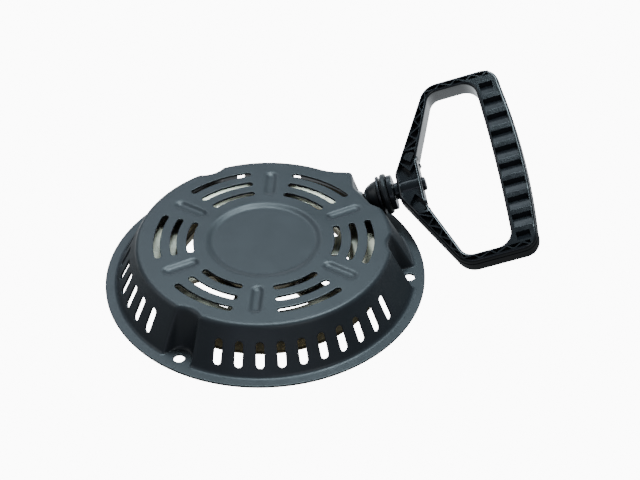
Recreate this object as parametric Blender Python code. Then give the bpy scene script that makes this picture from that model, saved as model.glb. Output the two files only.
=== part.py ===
"""Recoil starter for a small engine: pressed steel cover, rope reel, pawls and pull handle.

Metres, +Z up. The origin is on the crankshaft axis in the plane of the mounting flange, and the
cover's top faces +Z. The rope leaves the cover near +X, +Y and ends in the handle.
"""
from math import acos, atan2, cos, degrees, hypot, pi, radians, sin, sqrt

import bmesh
import bpy
from mathutils import Matrix, Vector

MM = 0.001
GAP = 0.3 * MM                      # play between pieces that touch

# Cover: pressed sheet with a flat mounting flange
SHEET = 1.5 * MM
FLANGE_R = 97.5 * MM
COVER_H = 29.0 * MM
WALL_FOOT_R = 88.5 * MM             # wall radius at WALL_FOOT_Z
WALL_FOOT_Z = 6.0 * MM
WALL_SLOPE = 0.511                  # radius lost per height
DISH_R = 35.0 * MM
DISH_FLOOR_R = 31.0 * MM
DISH_DEPTH = 1.3 * MM

# Mounting lugs
LUG_ANGLES = (0, 120, 240)
BOLT_CIRCLE_R = 88.0 * MM
BOLT_HOLE_R = 3.3 * MM
POCKET_R = 8.0 * MM                 # half-round pocket around each hole, at the flange
POCKET_FLARE = 0.18                 # radius gained per height

# Slots and beads in the cover
ARC_SLOTS = ((44.6 * MM, 15.8), (54.5 * MM, 16.2), (64.4 * MM, 16.5))   # radius and half angle
ARC_SLOT_W = 4.0 * MM
ARC_GROUPS = 6
BEAD_R0 = 46.5 * MM
BEAD_R1 = 62.0 * MM
BEAD_W = 7.0 * MM
BEAD_DEPTH = 0.7 * MM
WALL_SLOT_STEP = 8.33
WALL_SLOT_GROUPS = ((-104, 10), (-212.4, 10), (80, 4))   # first angle and how many
WALL_SLOT_W = 4.8 * MM
WALL_SLOT_Z0 = 6.0 * MM
WALL_SLOT_Z1 = 20.3 * MM

# Rope axis outside the cover, from the rope guide to the handle
GUIDE_POINT = Vector((59.1, 57.2, 15.0)) * MM
AXIS_AZIMUTH = 5.7
AXIS_ELEVATION = 16.8
HANDLE_ROLL = 23.5                  # turn of the handle about the rope axis

# Ear of the cover that the rope leaves by
EAR_FACE_S = -3.5 * MM              # end face, along the rope axis from the guide point
EAR_SIDE_Y = 68.5 * MM              # side face at the top of the cover
EAR_SIDE_SLOPE = 0.24
RECESS_R = 74.0 * MM                # wall beside the ear, set back for the buffer
RECESS_START = 24.0
RECESS_FULL = 31.0
EAR_END = 72.0
GUIDE_HOLE_R = 6.2 * MM
GUIDE_LIP_R = 7.2 * MM

# Reel: two pressed discs riveted back to back
REEL_R = 71.5 * MM
REEL_MID_Z = 12.15 * MM
REEL_SHEET = 1.2 * MM
DRUM_R = 54.0 * MM
GROOVE_HALF = 5.0 * MM              # half width of the rope groove at the drum
UPPER_FLANK_RISE = 3.5 * MM         # more half width at the rim
LOWER_FLANK_RISE = 4.7 * MM
WINDOWS = 6
WINDOW_R0 = 34.5 * MM
WINDOW_R1 = 51.0 * MM
WINDOW_HALF_ANGLE = 20.0
WINDOW_PHASE = -12.0
HUB_BORE_R = 7.25 * MM
HUB_R = 9.3 * MM
RIVET_CIRCLE_R = 29.0 * MM
RIVET_ANGLES = (15, 135, 195, 315)  # clear of the pawls

# Post, spring case and recoil spring
POST_R = 7.0 * MM
POST_Z0 = 7.0 * MM
CASE_R = 31.5 * MM
CASE_Z0 = 15.0 * MM
CASE_Z1 = COVER_H - DISH_DEPTH - SHEET - GAP
SPRING_TURNS = 4
SPRING_R0 = 10.6 * MM
SPRING_R1 = 28.6 * MM
SPRING_T = 0.8 * MM

# Centre screw, washer and pawl guide
HEAD_FLATS = 10.0 * MM
HEAD_H = 3.6 * MM
SCREW_R = 3.0 * MM
WASHER_R = 8.0 * MM
WASHER_Z = (3.9 * MM, 4.9 * MM)
PLATE_R = 20.0 * MM
PLATE_Z = (5.2 * MM, 6.6 * MM)
PEG_CIRCLE_R = 15.0 * MM
PEG_R = 1.3 * MM
PEG_SLOT_W = 3.6 * MM

# Pawls
PAWL_Z = (7.2 * MM, 10.4 * MM)
PAWL_CIRCLE_R = 24.0 * MM
PAWL_ANGLES = (60, 240)
PAWL_PIN_R = 2.0 * MM
PAWL_LENGTH = 20.0 * MM
PAWL_HUB_R = 4.2 * MM

# Rope
ROPE_R = 2.2 * MM
ROPE_FIRST_R = 56.7 * MM            # centreline of the first two turns, side by side
ROPE_LAST_R = 61.3 * MM             # centreline of the turn over them
ROPE_SIDE = 2.35 * MM               # the first two turns lie this far from the groove's middle
ROPE_TURNS = 2.6
ROPE_BORE_R = 2.7 * MM

# Rope's fixed end: a hole in the lower disc's drum wall with a knot behind it
KNOT_HOLE_R = 1.7 * MM
KNOT_HOLE_Z = 9.05 * MM
STUB_R = 1.3 * MM

# Rope guide, buffer and handle, along the rope axis from the guide point
BUFFER_S = (0.4 * MM, 9.6 * MM)
STOP_DISC_S = (9.9 * MM, 11.4 * MM)
STOP_DISC_R = 12.3 * MM
RING_S = (11.7 * MM, 16.2 * MM)
RING_R = 13.0 * MM
COLLAR_S = (16.5 * MM, 19.7 * MM)
COLLAR_R = 11.2 * MM
HANDLE_T = 14.5 * MM
HANDLE_S0 = 22.6 * MM
HANDLE_S1 = 99.8 * MM
HANDLE_HALF_W = 64.6 * MM
HANDLE_BOW = 3.2 * MM               # the grip bows out by this much
HUB_INNER_S = 38.0 * MM
OPENING_HALF_W = 59.0 * MM
OPENING_S1 = 84.6 * MM
STEM_R = 5.4 * MM
STEM_S0 = 20.0 * MM
KNOT_S = 31.0 * MM
KNOT_R = 4.1 * MM
KNOT_STRETCH = 0.8
KNOT_LENGTH = 1.85 * KNOT_STRETCH   # in knot radii
GRIP_POCKETS = 10
GRIP_POCKET_PITCH = 12.0 * MM
GRIP_POCKET_W = 8.6 * MM
GRIP_POCKET_DEPTH = 2.6 * MM
TRUSS_DEPTH = 3.6 * MM


# ---------------------------------------------------------------- scene and materials

def clear_scene():
    for obj in list(bpy.data.objects):
        bpy.data.objects.remove(obj, do_unlink=True)


def make_material(name, colour, roughness, metallic):
    material = bpy.data.materials.new(name)
    material.use_nodes = True
    shader = material.node_tree.nodes["Principled BSDF"]
    shader.inputs["Base Color"].default_value = (*colour, 1.0)
    shader.inputs["Roughness"].default_value = roughness
    shader.inputs["Metallic"].default_value = metallic
    return material


def add_object(name, data, material, parent=None):
    obj = bpy.data.objects.new(name, data)
    bpy.context.scene.collection.objects.link(obj)
    if material:
        data.materials.append(material)
    obj.parent = parent
    return obj


def finish_mesh(name, mesh_bm, material, parent=None, smooth=True):
    bmesh.ops.recalc_face_normals(mesh_bm, faces=mesh_bm.faces)
    mesh = bpy.data.meshes.new(name)
    mesh_bm.to_mesh(mesh)
    mesh_bm.free()
    if smooth:
        mesh.shade_smooth()
        mesh.set_sharp_from_angle(angle=radians(35))
    return add_object(name, mesh, material, parent)


# ---------------------------------------------------------------- shapes

def add_prism(mesh_bm, outline, low, high, matrix=None):
    """Closed prism over a flat outline, from low to high along local Z."""
    bottom = [mesh_bm.verts.new((x, y, low)) for x, y in outline]
    top = [mesh_bm.verts.new((x, y, high)) for x, y in outline]
    mesh_bm.faces.new(bottom[::-1])
    mesh_bm.faces.new(top)
    for i in range(len(outline)):
        j = (i + 1) % len(outline)
        mesh_bm.faces.new((bottom[i], bottom[j], top[j], top[i]))
    if matrix:
        bmesh.ops.transform(mesh_bm, matrix=matrix, verts=bottom + top)


def add_turned(mesh_bm, profile, segments, matrix=None):
    """Closed profile of (radius, height) points turned about local Z."""
    rings = []
    for r, z in profile:
        if r < 1e-7:
            rings.append([mesh_bm.verts.new((0, 0, z))])
        else:
            steps = [2 * pi * k / segments for k in range(segments)]
            rings.append([mesh_bm.verts.new((r * cos(t), r * sin(t), z)) for t in steps])
    made = [vert for ring in rings for vert in ring]
    for a, b in zip(rings, rings[1:] + rings[:1]):
        if len(a) == 1 and len(b) == 1:
            continue
        for k in range(segments):
            m = (k + 1) % segments
            if len(a) == 1:
                mesh_bm.faces.new((a[0], b[m], b[k]))
            elif len(b) == 1:
                mesh_bm.faces.new((a[k], a[m], b[0]))
            else:
                mesh_bm.faces.new((a[k], a[m], b[m], b[k]))
    if matrix:
        bmesh.ops.transform(mesh_bm, matrix=matrix, verts=made)


def turned(name, profile, segments, material, parent=None, matrix=None):
    mesh_bm = bmesh.new()
    add_turned(mesh_bm, profile, segments, matrix)
    return finish_mesh(name, mesh_bm, material, parent)


def tube_profile(r0, r1, z0, z1):
    return [(r0, z0), (r1, z0), (r1, z1), (r0, z1)]


def circle(radius, segments, centre=(0, 0)):
    steps = [2 * pi * k / segments for k in range(segments)]
    return [(centre[0] + radius * cos(t), centre[1] + radius * sin(t)) for t in steps]


def arc(centre, radius, start, end, steps):
    """Points on an arc between two angles in degrees, both ends included."""
    points = []
    for k in range(steps + 1):
        t = radians(start + (end - start) * k / steps)
        points.append((centre[0] + radius * cos(t), centre[1] + radius * sin(t)))
    return points


def arc_slot(radius, middle, half_angle, width, steps=6, cap_steps=3):
    """Curved slot with round ends, about the origin; angles in degrees."""
    half = width / 2
    a0 = middle - half_angle
    a1 = middle + half_angle
    c0 = (radius * cos(radians(a0)), radius * sin(radians(a0)))
    c1 = (radius * cos(radians(a1)), radius * sin(radians(a1)))
    points = arc((0, 0), radius + half, a0, a1, steps)
    points += arc(c1, half, a1, a1 + 180, cap_steps)[1:-1]
    points += arc((0, 0), radius - half, a1, a0, steps)
    points += arc(c0, half, a0 + 180, a0 + 360, cap_steps)[1:-1]
    return points


def capsule(x0, x1, width, cap_steps=4):
    """Straight slot with round ends whose tips are at x0 and x1."""
    half = width / 2
    right = arc((x1 - half, 0), half, -90, 90, cap_steps)
    left = arc((x0 + half, 0), half, 90, 270, cap_steps)
    return right + left


def rounded(corners, steps=4):
    """Outline through (x, y, radius) corners, each rounded by an arc."""
    points = []
    count = len(corners)
    for i, (x, y, radius) in enumerate(corners):
        here = Vector((x, y))
        back = (Vector(corners[i - 1][:2]) - here).normalized()
        ahead = (Vector(corners[(i + 1) % count][:2]) - here).normalized()
        if radius == 0:
            points.append((x, y))
            continue
        half = acos(max(-1.0, min(1.0, back.dot(ahead)))) / 2
        centre = here + (back + ahead).normalized() * radius / sin(half)
        first = here + back * radius / (sin(half) / cos(half))
        last = here + ahead * radius / (sin(half) / cos(half))
        t0 = atan2(first.y - centre.y, first.x - centre.x)
        t1 = atan2(last.y - centre.y, last.x - centre.x)
        turn = (t1 - t0 + pi) % (2 * pi) - pi
        for k in range(steps + 1):
            t = t0 + turn * k / steps
            points.append((centre.x + radius * cos(t), centre.y + radius * sin(t)))
    return points


def wire(name, points, radius, material, parent=None, resolution=2):
    """Round bar or rope along a list of points."""
    curve = bpy.data.curves.new(name, "CURVE")
    curve.dimensions = "3D"
    curve.bevel_depth = radius
    curve.bevel_resolution = resolution
    curve.use_fill_caps = True
    spline = curve.splines.new("POLY")
    spline.points.add(len(points) - 1)
    for point, place in zip(spline.points, points):
        point.co = (*place, 1.0)
    return add_object(name, curve, material, parent)


def cut(target, name, build):
    """Take the shapes that build() adds to a bmesh out of target."""
    mesh_bm = bmesh.new()
    build(mesh_bm)
    cutter = finish_mesh(name, mesh_bm, None, target.parent, smooth=False)
    cutter.hide_render = True
    cutter.display_type = "WIRE"
    modifier = target.modifiers.new(name, "BOOLEAN")
    modifier.object = cutter
    modifier.operation = "DIFFERENCE"
    modifier.solver = "EXACT"


def join(target, name, build):
    """Unite the shapes that build() adds to a bmesh with target."""
    cut(target, name, build)
    target.modifiers[name].operation = "UNION"


# ---------------------------------------------------------------- cover

def axis_vectors():
    """Rope axis, handle width and handle thickness directions."""
    azimuth = radians(AXIS_AZIMUTH)
    elevation = radians(AXIS_ELEVATION)
    roll = radians(HANDLE_ROLL)
    along = Vector((cos(elevation) * cos(azimuth), cos(elevation) * sin(azimuth), sin(elevation)))
    level = Vector((-sin(azimuth), cos(azimuth), 0))
    across = level * cos(roll) + along.cross(level) * sin(roll)
    return along, across, along.cross(across)


def smooth_step(value):
    t = max(0.0, min(1.0, value))
    return t * t * (3 - 2 * t)


def cone_radius(z):
    return WALL_FOOT_R - (z - WALL_FOOT_Z) * WALL_SLOPE


def wall_radius(angle, z, inset=0.0):
    """Radius of the cover's wall at an angle in degrees; inset is the depth under the skin."""
    radius = cone_radius(z) - inset
    for lug in LUG_ANGLES:
        turn = radians(angle - lug)
        pocket = POCKET_R + POCKET_FLARE * z + inset
        sideways = BOLT_CIRCLE_R * sin(turn)
        if cos(turn) > 0 and abs(sideways) < pocket:
            radius = min(radius, BOLT_CIRCLE_R * cos(turn) - sqrt(pocket ** 2 - sideways ** 2))
    turn = angle % 360
    if RECESS_START < turn < EAR_END:
        along = axis_vectors()[0]
        distance = GUIDE_POINT.dot(along) + EAR_FACE_S - inset - z * along.z
        end_face = distance / (along.x * cos(radians(turn)) + along.y * sin(radians(turn)))
        side_y = EAR_SIDE_Y + (COVER_H - z) * EAR_SIDE_SLOPE - inset
        side_face = max(radius, side_y / sin(radians(turn)))
        ear = max(RECESS_R - inset, min(end_face, side_face))
        share = smooth_step((turn - RECESS_START) / (RECESS_FULL - RECESS_START))
        radius = radius + (ear - radius) * share
    return radius


def cover_angles():
    """Sections are close together where the wall changes: lugs and ear."""
    angles = set()
    for lug in LUG_ANGLES:
        angles.update(lug + step for step in (0, 2.5, 4.5, 6, 7.5))
        angles.update((lug - step) % 360 for step in (2.5, 4.5, 6, 7.5))
    corner = 53.6
    angles.update((RECESS_START, 26, 28.5, RECESS_FULL, 36, 41, 45.5, 49.5, corner, 58, 63, 68, EAR_END))
    for step in range(0, 360, 8):
        if all(abs((step - other + 180) % 360 - 180) > 3.5 for other in angles):
            angles.add(step)
    return sorted(angles)


def cover_section(angle):
    """Closed section of the sheet at an angle: outer skin inwards, then inner skin outwards."""
    def skin(z, inset=0.0):
        return wall_radius(angle, z, inset)

    dish_z = COVER_H - DISH_DEPTH
    outer = [(FLANGE_R, 0), (FLANGE_R, SHEET), (skin(SHEET) + 1.7 * MM, SHEET),
             (skin(3.0 * MM) + 0.3 * MM, 3.2 * MM), (skin(6.0 * MM), 6.0 * MM),
             (skin(17.0 * MM), 17.0 * MM), (skin(26.2 * MM), 26.2 * MM),
             (skin(28.2 * MM) - 0.9 * MM, 28.2 * MM), (skin(COVER_H) - 2.8 * MM, COVER_H),
             (DISH_R, COVER_H), (DISH_FLOOR_R, dish_z)]
    inner = [(DISH_FLOOR_R, dish_z - SHEET), (DISH_R, COVER_H - SHEET),
             (skin(COVER_H - SHEET, SHEET) - 2.6 * MM, COVER_H - SHEET),
             (skin(25.6 * MM, SHEET), 25.6 * MM), (skin(17.0 * MM, SHEET), 17.0 * MM),
             (skin(5.4 * MM, SHEET), 5.4 * MM), (skin(2.0 * MM, SHEET), 1.6 * MM),
             (skin(SHEET), 0)]
    return outer, inner


def build_cover(material):
    mesh_bm = bmesh.new()
    rings = []
    for angle in cover_angles():
        t = radians(angle)
        outer, inner = cover_section(angle)
        rings.append([mesh_bm.verts.new((r * cos(t), r * sin(t), z)) for r, z in outer + inner])
    last_outer = len(outer) - 1
    top = mesh_bm.verts.new((0, 0, outer[-1][1]))
    underside = mesh_bm.verts.new((0, 0, inner[0][1]))
    count = len(rings[0])
    for a, b in zip(rings, rings[1:] + rings[:1]):
        for k in range(count):
            m = (k + 1) % count
            if k == last_outer:
                mesh_bm.faces.new((a[k], b[k], top))
                mesh_bm.faces.new((b[m], a[m], underside))
            else:
                mesh_bm.faces.new((a[k], b[k], b[m], a[m]))
    cover = finish_mesh("housing", mesh_bm, material)
    cut(cover, "cover_slots", add_cover_slots)
    cut(cover, "cover_holes", add_cover_holes)
    cut(cover, "cover_beads", add_cover_beads)
    return cover


def add_cover_slots(mesh_bm):
    for group in range(ARC_GROUPS):
        for radius, half_angle in ARC_SLOTS:
            outline = arc_slot(radius, group * 360 / ARC_GROUPS, half_angle, ARC_SLOT_W)
            add_prism(mesh_bm, outline, COVER_H - 4 * MM, COVER_H + 4 * MM)
    lean = atan2(WALL_SLOPE, 1)
    middle_z = (WALL_SLOT_Z0 + WALL_SLOT_Z1) / 2
    length = (WALL_SLOT_Z1 - WALL_SLOT_Z0) / cos(lean)
    outline = capsule(-length / 2, length / 2, WALL_SLOT_W)
    for first, count in WALL_SLOT_GROUPS:
        for k in range(count):
            place = (Matrix.Rotation(radians(first + k * WALL_SLOT_STEP), 4, "Z")
                     @ Matrix.Translation((cone_radius(middle_z), 0, middle_z))
                     @ Matrix.Rotation(pi / 2 - lean, 4, "Y"))
            add_prism(mesh_bm, outline, -4 * MM, 4 * MM, place)


def add_cover_holes(mesh_bm):
    for lug in LUG_ANGLES:
        centre = (BOLT_CIRCLE_R * cos(radians(lug)), BOLT_CIRCLE_R * sin(radians(lug)))
        add_prism(mesh_bm, circle(BOLT_HOLE_R, 16, centre), -2 * MM, 4 * MM)
    profile = [(0, -14 * MM), (GUIDE_HOLE_R, -14 * MM), (GUIDE_HOLE_R, 3 * MM), (0, 3 * MM)]
    add_turned(mesh_bm, profile, 16, axis_matrix() @ ALONG_X)


def add_cover_beads(mesh_bm):
    outline = capsule(BEAD_R0 - BEAD_W / 2, BEAD_R1 + BEAD_W / 2, BEAD_W)
    for group in range(ARC_GROUPS):
        place = Matrix.Rotation(radians(30 + group * 60), 4, "Z")
        add_prism(mesh_bm, outline, COVER_H - BEAD_DEPTH, COVER_H + 2 * MM, place)


# ---------------------------------------------------------------- post, spring and centre screw

def build_post(material):
    bore_top = 19 * MM
    profile = [(0, CASE_Z1), (POST_R, CASE_Z1), (POST_R, POST_Z0), (SCREW_R + GAP, POST_Z0),
               (SCREW_R + GAP, bore_top), (0, bore_top)]
    return turned("centre_post", profile[::-1], 24, material)


def build_spring_case(material):
    top = CASE_Z1
    profile = [(POST_R + GAP, top - REEL_SHEET), (POST_R + GAP, top), (CASE_R, top), (CASE_R, CASE_Z0),
               (CASE_R - REEL_SHEET, CASE_Z0), (CASE_R - REEL_SHEET, top - REEL_SHEET)]
    return turned("spring_case", profile, 32, material)


def build_recoil_spring(material):
    """Flat strip wound in a spiral inside the case."""
    low = 15.8 * MM
    high = CASE_Z1 - REEL_SHEET - 0.5 * MM
    steps = SPRING_TURNS * 20
    inner = []
    outer = []
    for k in range(steps + 1):
        t = 2 * pi * SPRING_TURNS * k / steps
        r = SPRING_R0 + (SPRING_R1 - SPRING_R0) * k / steps
        inner.append((r * cos(t), r * sin(t)))
        outer.append(((r + SPRING_T) * cos(t), (r + SPRING_T) * sin(t)))
    mesh_bm = bmesh.new()
    sections = []
    for (xi, yi), (xo, yo) in zip(inner, outer):
        corners = ((xi, yi, low), (xo, yo, low), (xo, yo, high), (xi, yi, high))
        sections.append([mesh_bm.verts.new(corner) for corner in corners])
    mesh_bm.faces.new(sections[0])
    mesh_bm.faces.new(sections[-1][::-1])
    for a, b in zip(sections, sections[1:]):
        for k in range(4):
            m = (k + 1) % 4
            mesh_bm.faces.new((a[k], a[m], b[m], b[k]))
    return finish_mesh("recoil_spring", mesh_bm, material)


def build_centre_screw(material):
    profile = [(0, 17 * MM), (SCREW_R, 17 * MM), (SCREW_R, HEAD_H - 1 * MM), (0, HEAD_H - 1 * MM)]
    screw = turned("centre_screw", profile[::-1], 16, material)
    corner_r = HEAD_FLATS / sqrt(3)
    join(screw, "screw_head", lambda mesh_bm: add_prism(mesh_bm, circle(corner_r, 6), 0, HEAD_H))
    return screw


def build_friction_spring(material, parent):
    """Open ring of wire between the pawl guide and the reel."""
    radius = 8.6 * MM
    points = []
    for k in range(25):
        t = radians(15 + 330 * k / 24)
        points.append((radius * cos(t), radius * sin(t), 7.65 * MM))
    return wire("friction_spring", points, 0.6 * MM, material, parent, resolution=1)


# ---------------------------------------------------------------- reel

def reel_half(name, side, material, parent):
    """One pressed disc; side is +1 for the upper one and -1 for the lower one."""
    def z(height):
        return REEL_MID_Z + side * height

    face = GAP / 2
    rise = UPPER_FLANK_RISE if side > 0 else LOWER_FLANK_RISE
    profile = [(HUB_R + GAP, z(face)), (DRUM_R, z(face)), (DRUM_R, z(GROOVE_HALF)),
               (REEL_R - 1.5 * MM, z(GROOVE_HALF + rise)), (REEL_R, z(GROOVE_HALF + rise + 0.2 * MM)),
               (REEL_R, z(GROOVE_HALF + rise + REEL_SHEET)),
               (DRUM_R - 0.4 * MM, z(GROOVE_HALF + REEL_SHEET)),
               (DRUM_R - REEL_SHEET, z(GROOVE_HALF + 0.4 * MM)),
               (DRUM_R - REEL_SHEET, z(face + REEL_SHEET)), (HUB_R + GAP, z(face + REEL_SHEET))]
    half = turned(name, profile, 40, material, parent)

    def add_windows(mesh_bm):
        middle_r = (WINDOW_R0 + WINDOW_R1) / 2
        width = WINDOW_R1 - WINDOW_R0
        for k in range(WINDOWS):
            corners = window_outline(middle_r, width, WINDOW_PHASE + k * 360 / WINDOWS)
            add_prism(mesh_bm, corners, REEL_MID_Z - 5 * MM, REEL_MID_Z + 5 * MM)
        for angle in RIVET_ANGLES:
            t = radians(angle)
            centre = (RIVET_CIRCLE_R * cos(t), RIVET_CIRCLE_R * sin(t))
            add_prism(mesh_bm, circle(2.3 * MM, 12, centre), REEL_MID_Z - 5 * MM, REEL_MID_Z + 5 * MM)
        if side < 0:
            for angle in PAWL_ANGLES:
                t = radians(angle)
                centre = (PAWL_CIRCLE_R * cos(t), PAWL_CIRCLE_R * sin(t))
                add_prism(mesh_bm, circle(PAWL_PIN_R + GAP, 12, centre), REEL_MID_Z - 5 * MM, REEL_MID_Z + 5 * MM)

    if side < 0:
        cut(half, "knot_hole", add_knot_hole)
    cut(half, name + "_holes", add_windows)
    return half


def add_knot_hole(mesh_bm):
    add_prism(mesh_bm, circle(KNOT_HOLE_R, 8), -3 * MM, 3 * MM, knot_place() @ ALONG_X)


def window_outline(radius, width, middle):
    half = width / 2
    outer = arc((0, 0), radius + half, middle - WINDOW_HALF_ANGLE, middle + WINDOW_HALF_ANGLE, 5)
    inner = arc((0, 0), radius - half, middle + WINDOW_HALF_ANGLE - 2, middle - WINDOW_HALF_ANGLE + 2, 4)
    return outer + inner


def knot_place():
    """Frame of the knot behind the drum: X points outwards through the hole for the rope."""
    turn = radians(ROPE_START_ANGLE)
    return Matrix.Rotation(turn, 4, "Z") @ Matrix.Translation((DRUM_R, 0, KNOT_HOLE_Z))


def build_reel_bush(material, parent):
    profile = tube_profile(HUB_BORE_R, HUB_R, 8.6 * MM, CASE_Z1 - REEL_SHEET - 0.5 * MM)
    return turned("reel_bush", profile, 24, material, parent)


def build_rivet(name, angle, material, parent):
    t = radians(angle)
    place = Matrix.Translation((RIVET_CIRCLE_R * cos(t), RIVET_CIRCLE_R * sin(t), REEL_MID_Z))
    shank = 2.0 * MM
    head = 3.6 * MM
    grip = GAP / 2 + REEL_SHEET + GAP
    top = grip + 1.0 * MM
    profile = [(0, -top), (head * 0.7, -top), (head, -grip - 0.3 * MM), (head, -grip), (shank, -grip),
               (shank, grip), (head, grip), (head, grip + 0.3 * MM), (head * 0.7, top), (0, top)]
    return turned(name, profile, 12, material, parent, place)


# ---------------------------------------------------------------- pawls and pawl guide

def pawl_frame(angle):
    """Pivot of a pawl: X points away from the crankshaft axis."""
    return Matrix.Rotation(radians(angle), 4, "Z") @ Matrix.Translation((PAWL_CIRCLE_R, 0, 0))


def build_pawl(index, angle, material):
    pivot = bpy.data.objects.new("pawl_%d_pivot" % index, None)
    bpy.context.scene.collection.objects.link(pivot)
    pivot.matrix_world = pawl_frame(angle)
    peg_x = PEG_CIRCLE_R - PAWL_CIRCLE_R
    corners = [(peg_x - 2.2 * MM, -2.4 * MM, 2.0 * MM), (3.0 * MM, -PAWL_HUB_R, 3.0 * MM),
               (4.6 * MM, 3.0 * MM, 2.5 * MM), (2.2 * MM, PAWL_LENGTH - 6 * MM, 8 * MM),
               (3.2 * MM, PAWL_LENGTH, 0.5 * MM), (-2.2 * MM, PAWL_LENGTH - 1.5 * MM, 0.8 * MM),
               (-4.4 * MM, 6.0 * MM, 2.5 * MM), (peg_x - 2.2 * MM, 2.4 * MM, 2.0 * MM)]
    mesh_bm = bmesh.new()
    add_prism(mesh_bm, rounded(corners, 2), *PAWL_Z)
    name = "pawl_%d" % index
    pawl = finish_mesh(name, mesh_bm, material, pivot)
    cut(pawl, name + "_bore", lambda bm: add_prism(bm, circle(PAWL_PIN_R + GAP, 12), 0, 20 * MM))
    peg_low = PLATE_Z[0] + 0.2 * MM
    join(pawl, name + "_peg",
         lambda bm: add_prism(bm, circle(PEG_R, 10, (peg_x, 0)), peg_low, PAWL_Z[0] + 1 * MM))
    return pawl


def build_pawl_pin(index, angle, material, parent):
    """Headed pin: the head holds the pawl, the shank passes through the lower disc."""
    head_z = PAWL_Z[0] - GAP
    top = REEL_MID_Z - GAP / 2
    profile = [(0, head_z - 1.0 * MM), (3.4 * MM, head_z - 0.8 * MM), (3.4 * MM, head_z), (PAWL_PIN_R, head_z),
               (PAWL_PIN_R, top), (0, top)]
    return turned("pawl_pin_%d" % index, profile, 12, material, parent, pawl_frame(angle))


def build_pawl_spring(index, angle, material, parent):
    """Bent wire spring lying beside the pawl against the lower disc."""
    frame = pawl_frame(angle)
    z = (PAWL_Z[0] + PAWL_Z[1]) / 2
    local = [(-2.0, -11.5), (-3.4, -9.0), (-5.2, -7.0), (-7.4, -5.6), (-9.8, -5.0), (-12.2, -5.4)]
    points = [frame @ Vector((x * MM, y * MM, z)) for x, y in local]
    return wire("pawl_spring_%d" % index, points, 0.45 * MM, material, parent, resolution=1)


def build_guide_plate(material):
    mesh_bm = bmesh.new()
    add_turned(mesh_bm, tube_profile(SCREW_R + 2 * GAP, PLATE_R, *PLATE_Z), 36)
    plate = finish_mesh("guide_plate", mesh_bm, material)

    def add_peg_slots(cutter_bm):
        outline = capsule(PEG_CIRCLE_R - 3.4 * MM, PEG_CIRCLE_R + 4.2 * MM, PEG_SLOT_W, 3)
        for angle in PAWL_ANGLES:
            place = Matrix.Rotation(radians(angle), 4, "Z")
            add_prism(cutter_bm, outline, 0, 10 * MM, place)

    cut(plate, "peg_slots", add_peg_slots)
    return plate


# ---------------------------------------------------------------- rope

def coil_end_angle():
    """Angle at which the straight run to the rope guide touches the last turn, in radians."""
    guide_r = hypot(GUIDE_POINT.x, GUIDE_POINT.y)
    return atan2(GUIDE_POINT.y, GUIDE_POINT.x) + acos(ROPE_LAST_R / guide_r)


def coil_point(turn):
    """Rope centre after some turns: two turns side by side, then one over them."""
    angle = coil_end_angle() + (ROPE_TURNS - turn) * 2 * pi
    side = -ROPE_SIDE + 2 * ROPE_SIDE * smooth_step((turn - 0.82) / 0.16)
    climb = smooth_step((turn - 1.66) / 0.16)
    radius = ROPE_FIRST_R + (ROPE_LAST_R - ROPE_FIRST_R) * climb
    return Vector((radius * cos(angle), radius * sin(angle), REEL_MID_Z + side * (1 - climb)))


ROPE_START_ANGLE = degrees(coil_end_angle() + ROPE_TURNS * 2 * pi) % 360


def build_rope_coil(material, parent):
    steps = int(ROPE_TURNS * 24)
    clear = 0.012
    points = [coil_point(clear + (ROPE_TURNS - 2 * clear) * k / steps) for k in range(steps + 1)]
    return wire("rope_coil", points, ROPE_R, material, parent)


def build_rope_lead(material):
    """Straight run from the last turn to the rope guide."""
    start = coil_point(ROPE_TURNS)
    end = GUIDE_POINT + axis_vectors()[0] * (-3.3 * MM)
    steps = 6
    points = [start.lerp(end, k / steps) for k in range(steps + 1)]
    return wire("rope_lead", points, ROPE_R, material)


def build_rope_end(material, parent):
    points = [(s * MM, 0, 0) for s in (-2.6, 4, 12, 20, 26)]
    points.append((KNOT_S - GAP, 0, 0))
    return wire("rope_end", points, ROPE_R, material, parent)


def build_reel_knot(material, parent):
    """Knot behind the drum, with the rope's stub in the hole."""
    drop = Matrix.Translation((0, 0, -1.7 * MM))
    profile = knot_profile(-6.6 * MM, 2.9 * MM)
    knot = turned("rope_knot_reel", profile, 12, material, parent, drop @ knot_place() @ ALONG_X)
    stub = [(0, -6 * MM), (STUB_R, -6 * MM), (STUB_R, 0), (0, 0)]
    join(knot, "knot_stub", lambda bm: add_turned(bm, stub, 10, knot_place() @ ALONG_X))
    return knot


def knot_profile(start, radius):
    """Plump knot with a waist, from start along the axis."""
    shape = ((0, 0), (0.75, 0.1), (1.0, 0.55), (0.86, 0.95), (1.0, 1.35), (0.7, 1.75), (0, 1.85))
    return [(r * radius, start + z * radius * KNOT_STRETCH) for r, z in shape]


# ---------------------------------------------------------------- rope guide, buffer and handle

ALONG_X = Matrix.Rotation(pi / 2, 4, "Y")


def axis_matrix():
    """Frame at the rope guide: X along the rope, Y along the grip, Z through the handle."""
    along, across, through = axis_vectors()
    frame = Matrix((along, across, through)).transposed().to_4x4()
    frame.translation = GUIDE_POINT
    return frame


def build_rope_guide(material, parent):
    """Flanged eyelet in the end face of the ear."""
    inner_s = EAR_FACE_S - SHEET - 2.6 * MM
    outer_s = EAR_FACE_S + GAP
    lip = outer_s + 1.4 * MM
    profile = [(4.4 * MM, inner_s), (GUIDE_HOLE_R - GAP, inner_s), (GUIDE_HOLE_R - GAP, outer_s),
               (GUIDE_LIP_R, outer_s), (GUIDE_LIP_R, lip - 0.6 * MM), (GUIDE_LIP_R - 0.8 * MM, lip),
               (5.4 * MM, lip + 1.6 * MM),
               (4.2 * MM, lip + 1.6 * MM), (3.2 * MM, lip), (3.2 * MM, inner_s + 2 * MM)]
    return turned("rope_guide", profile, 16, material, parent, ALONG_X)


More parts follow.
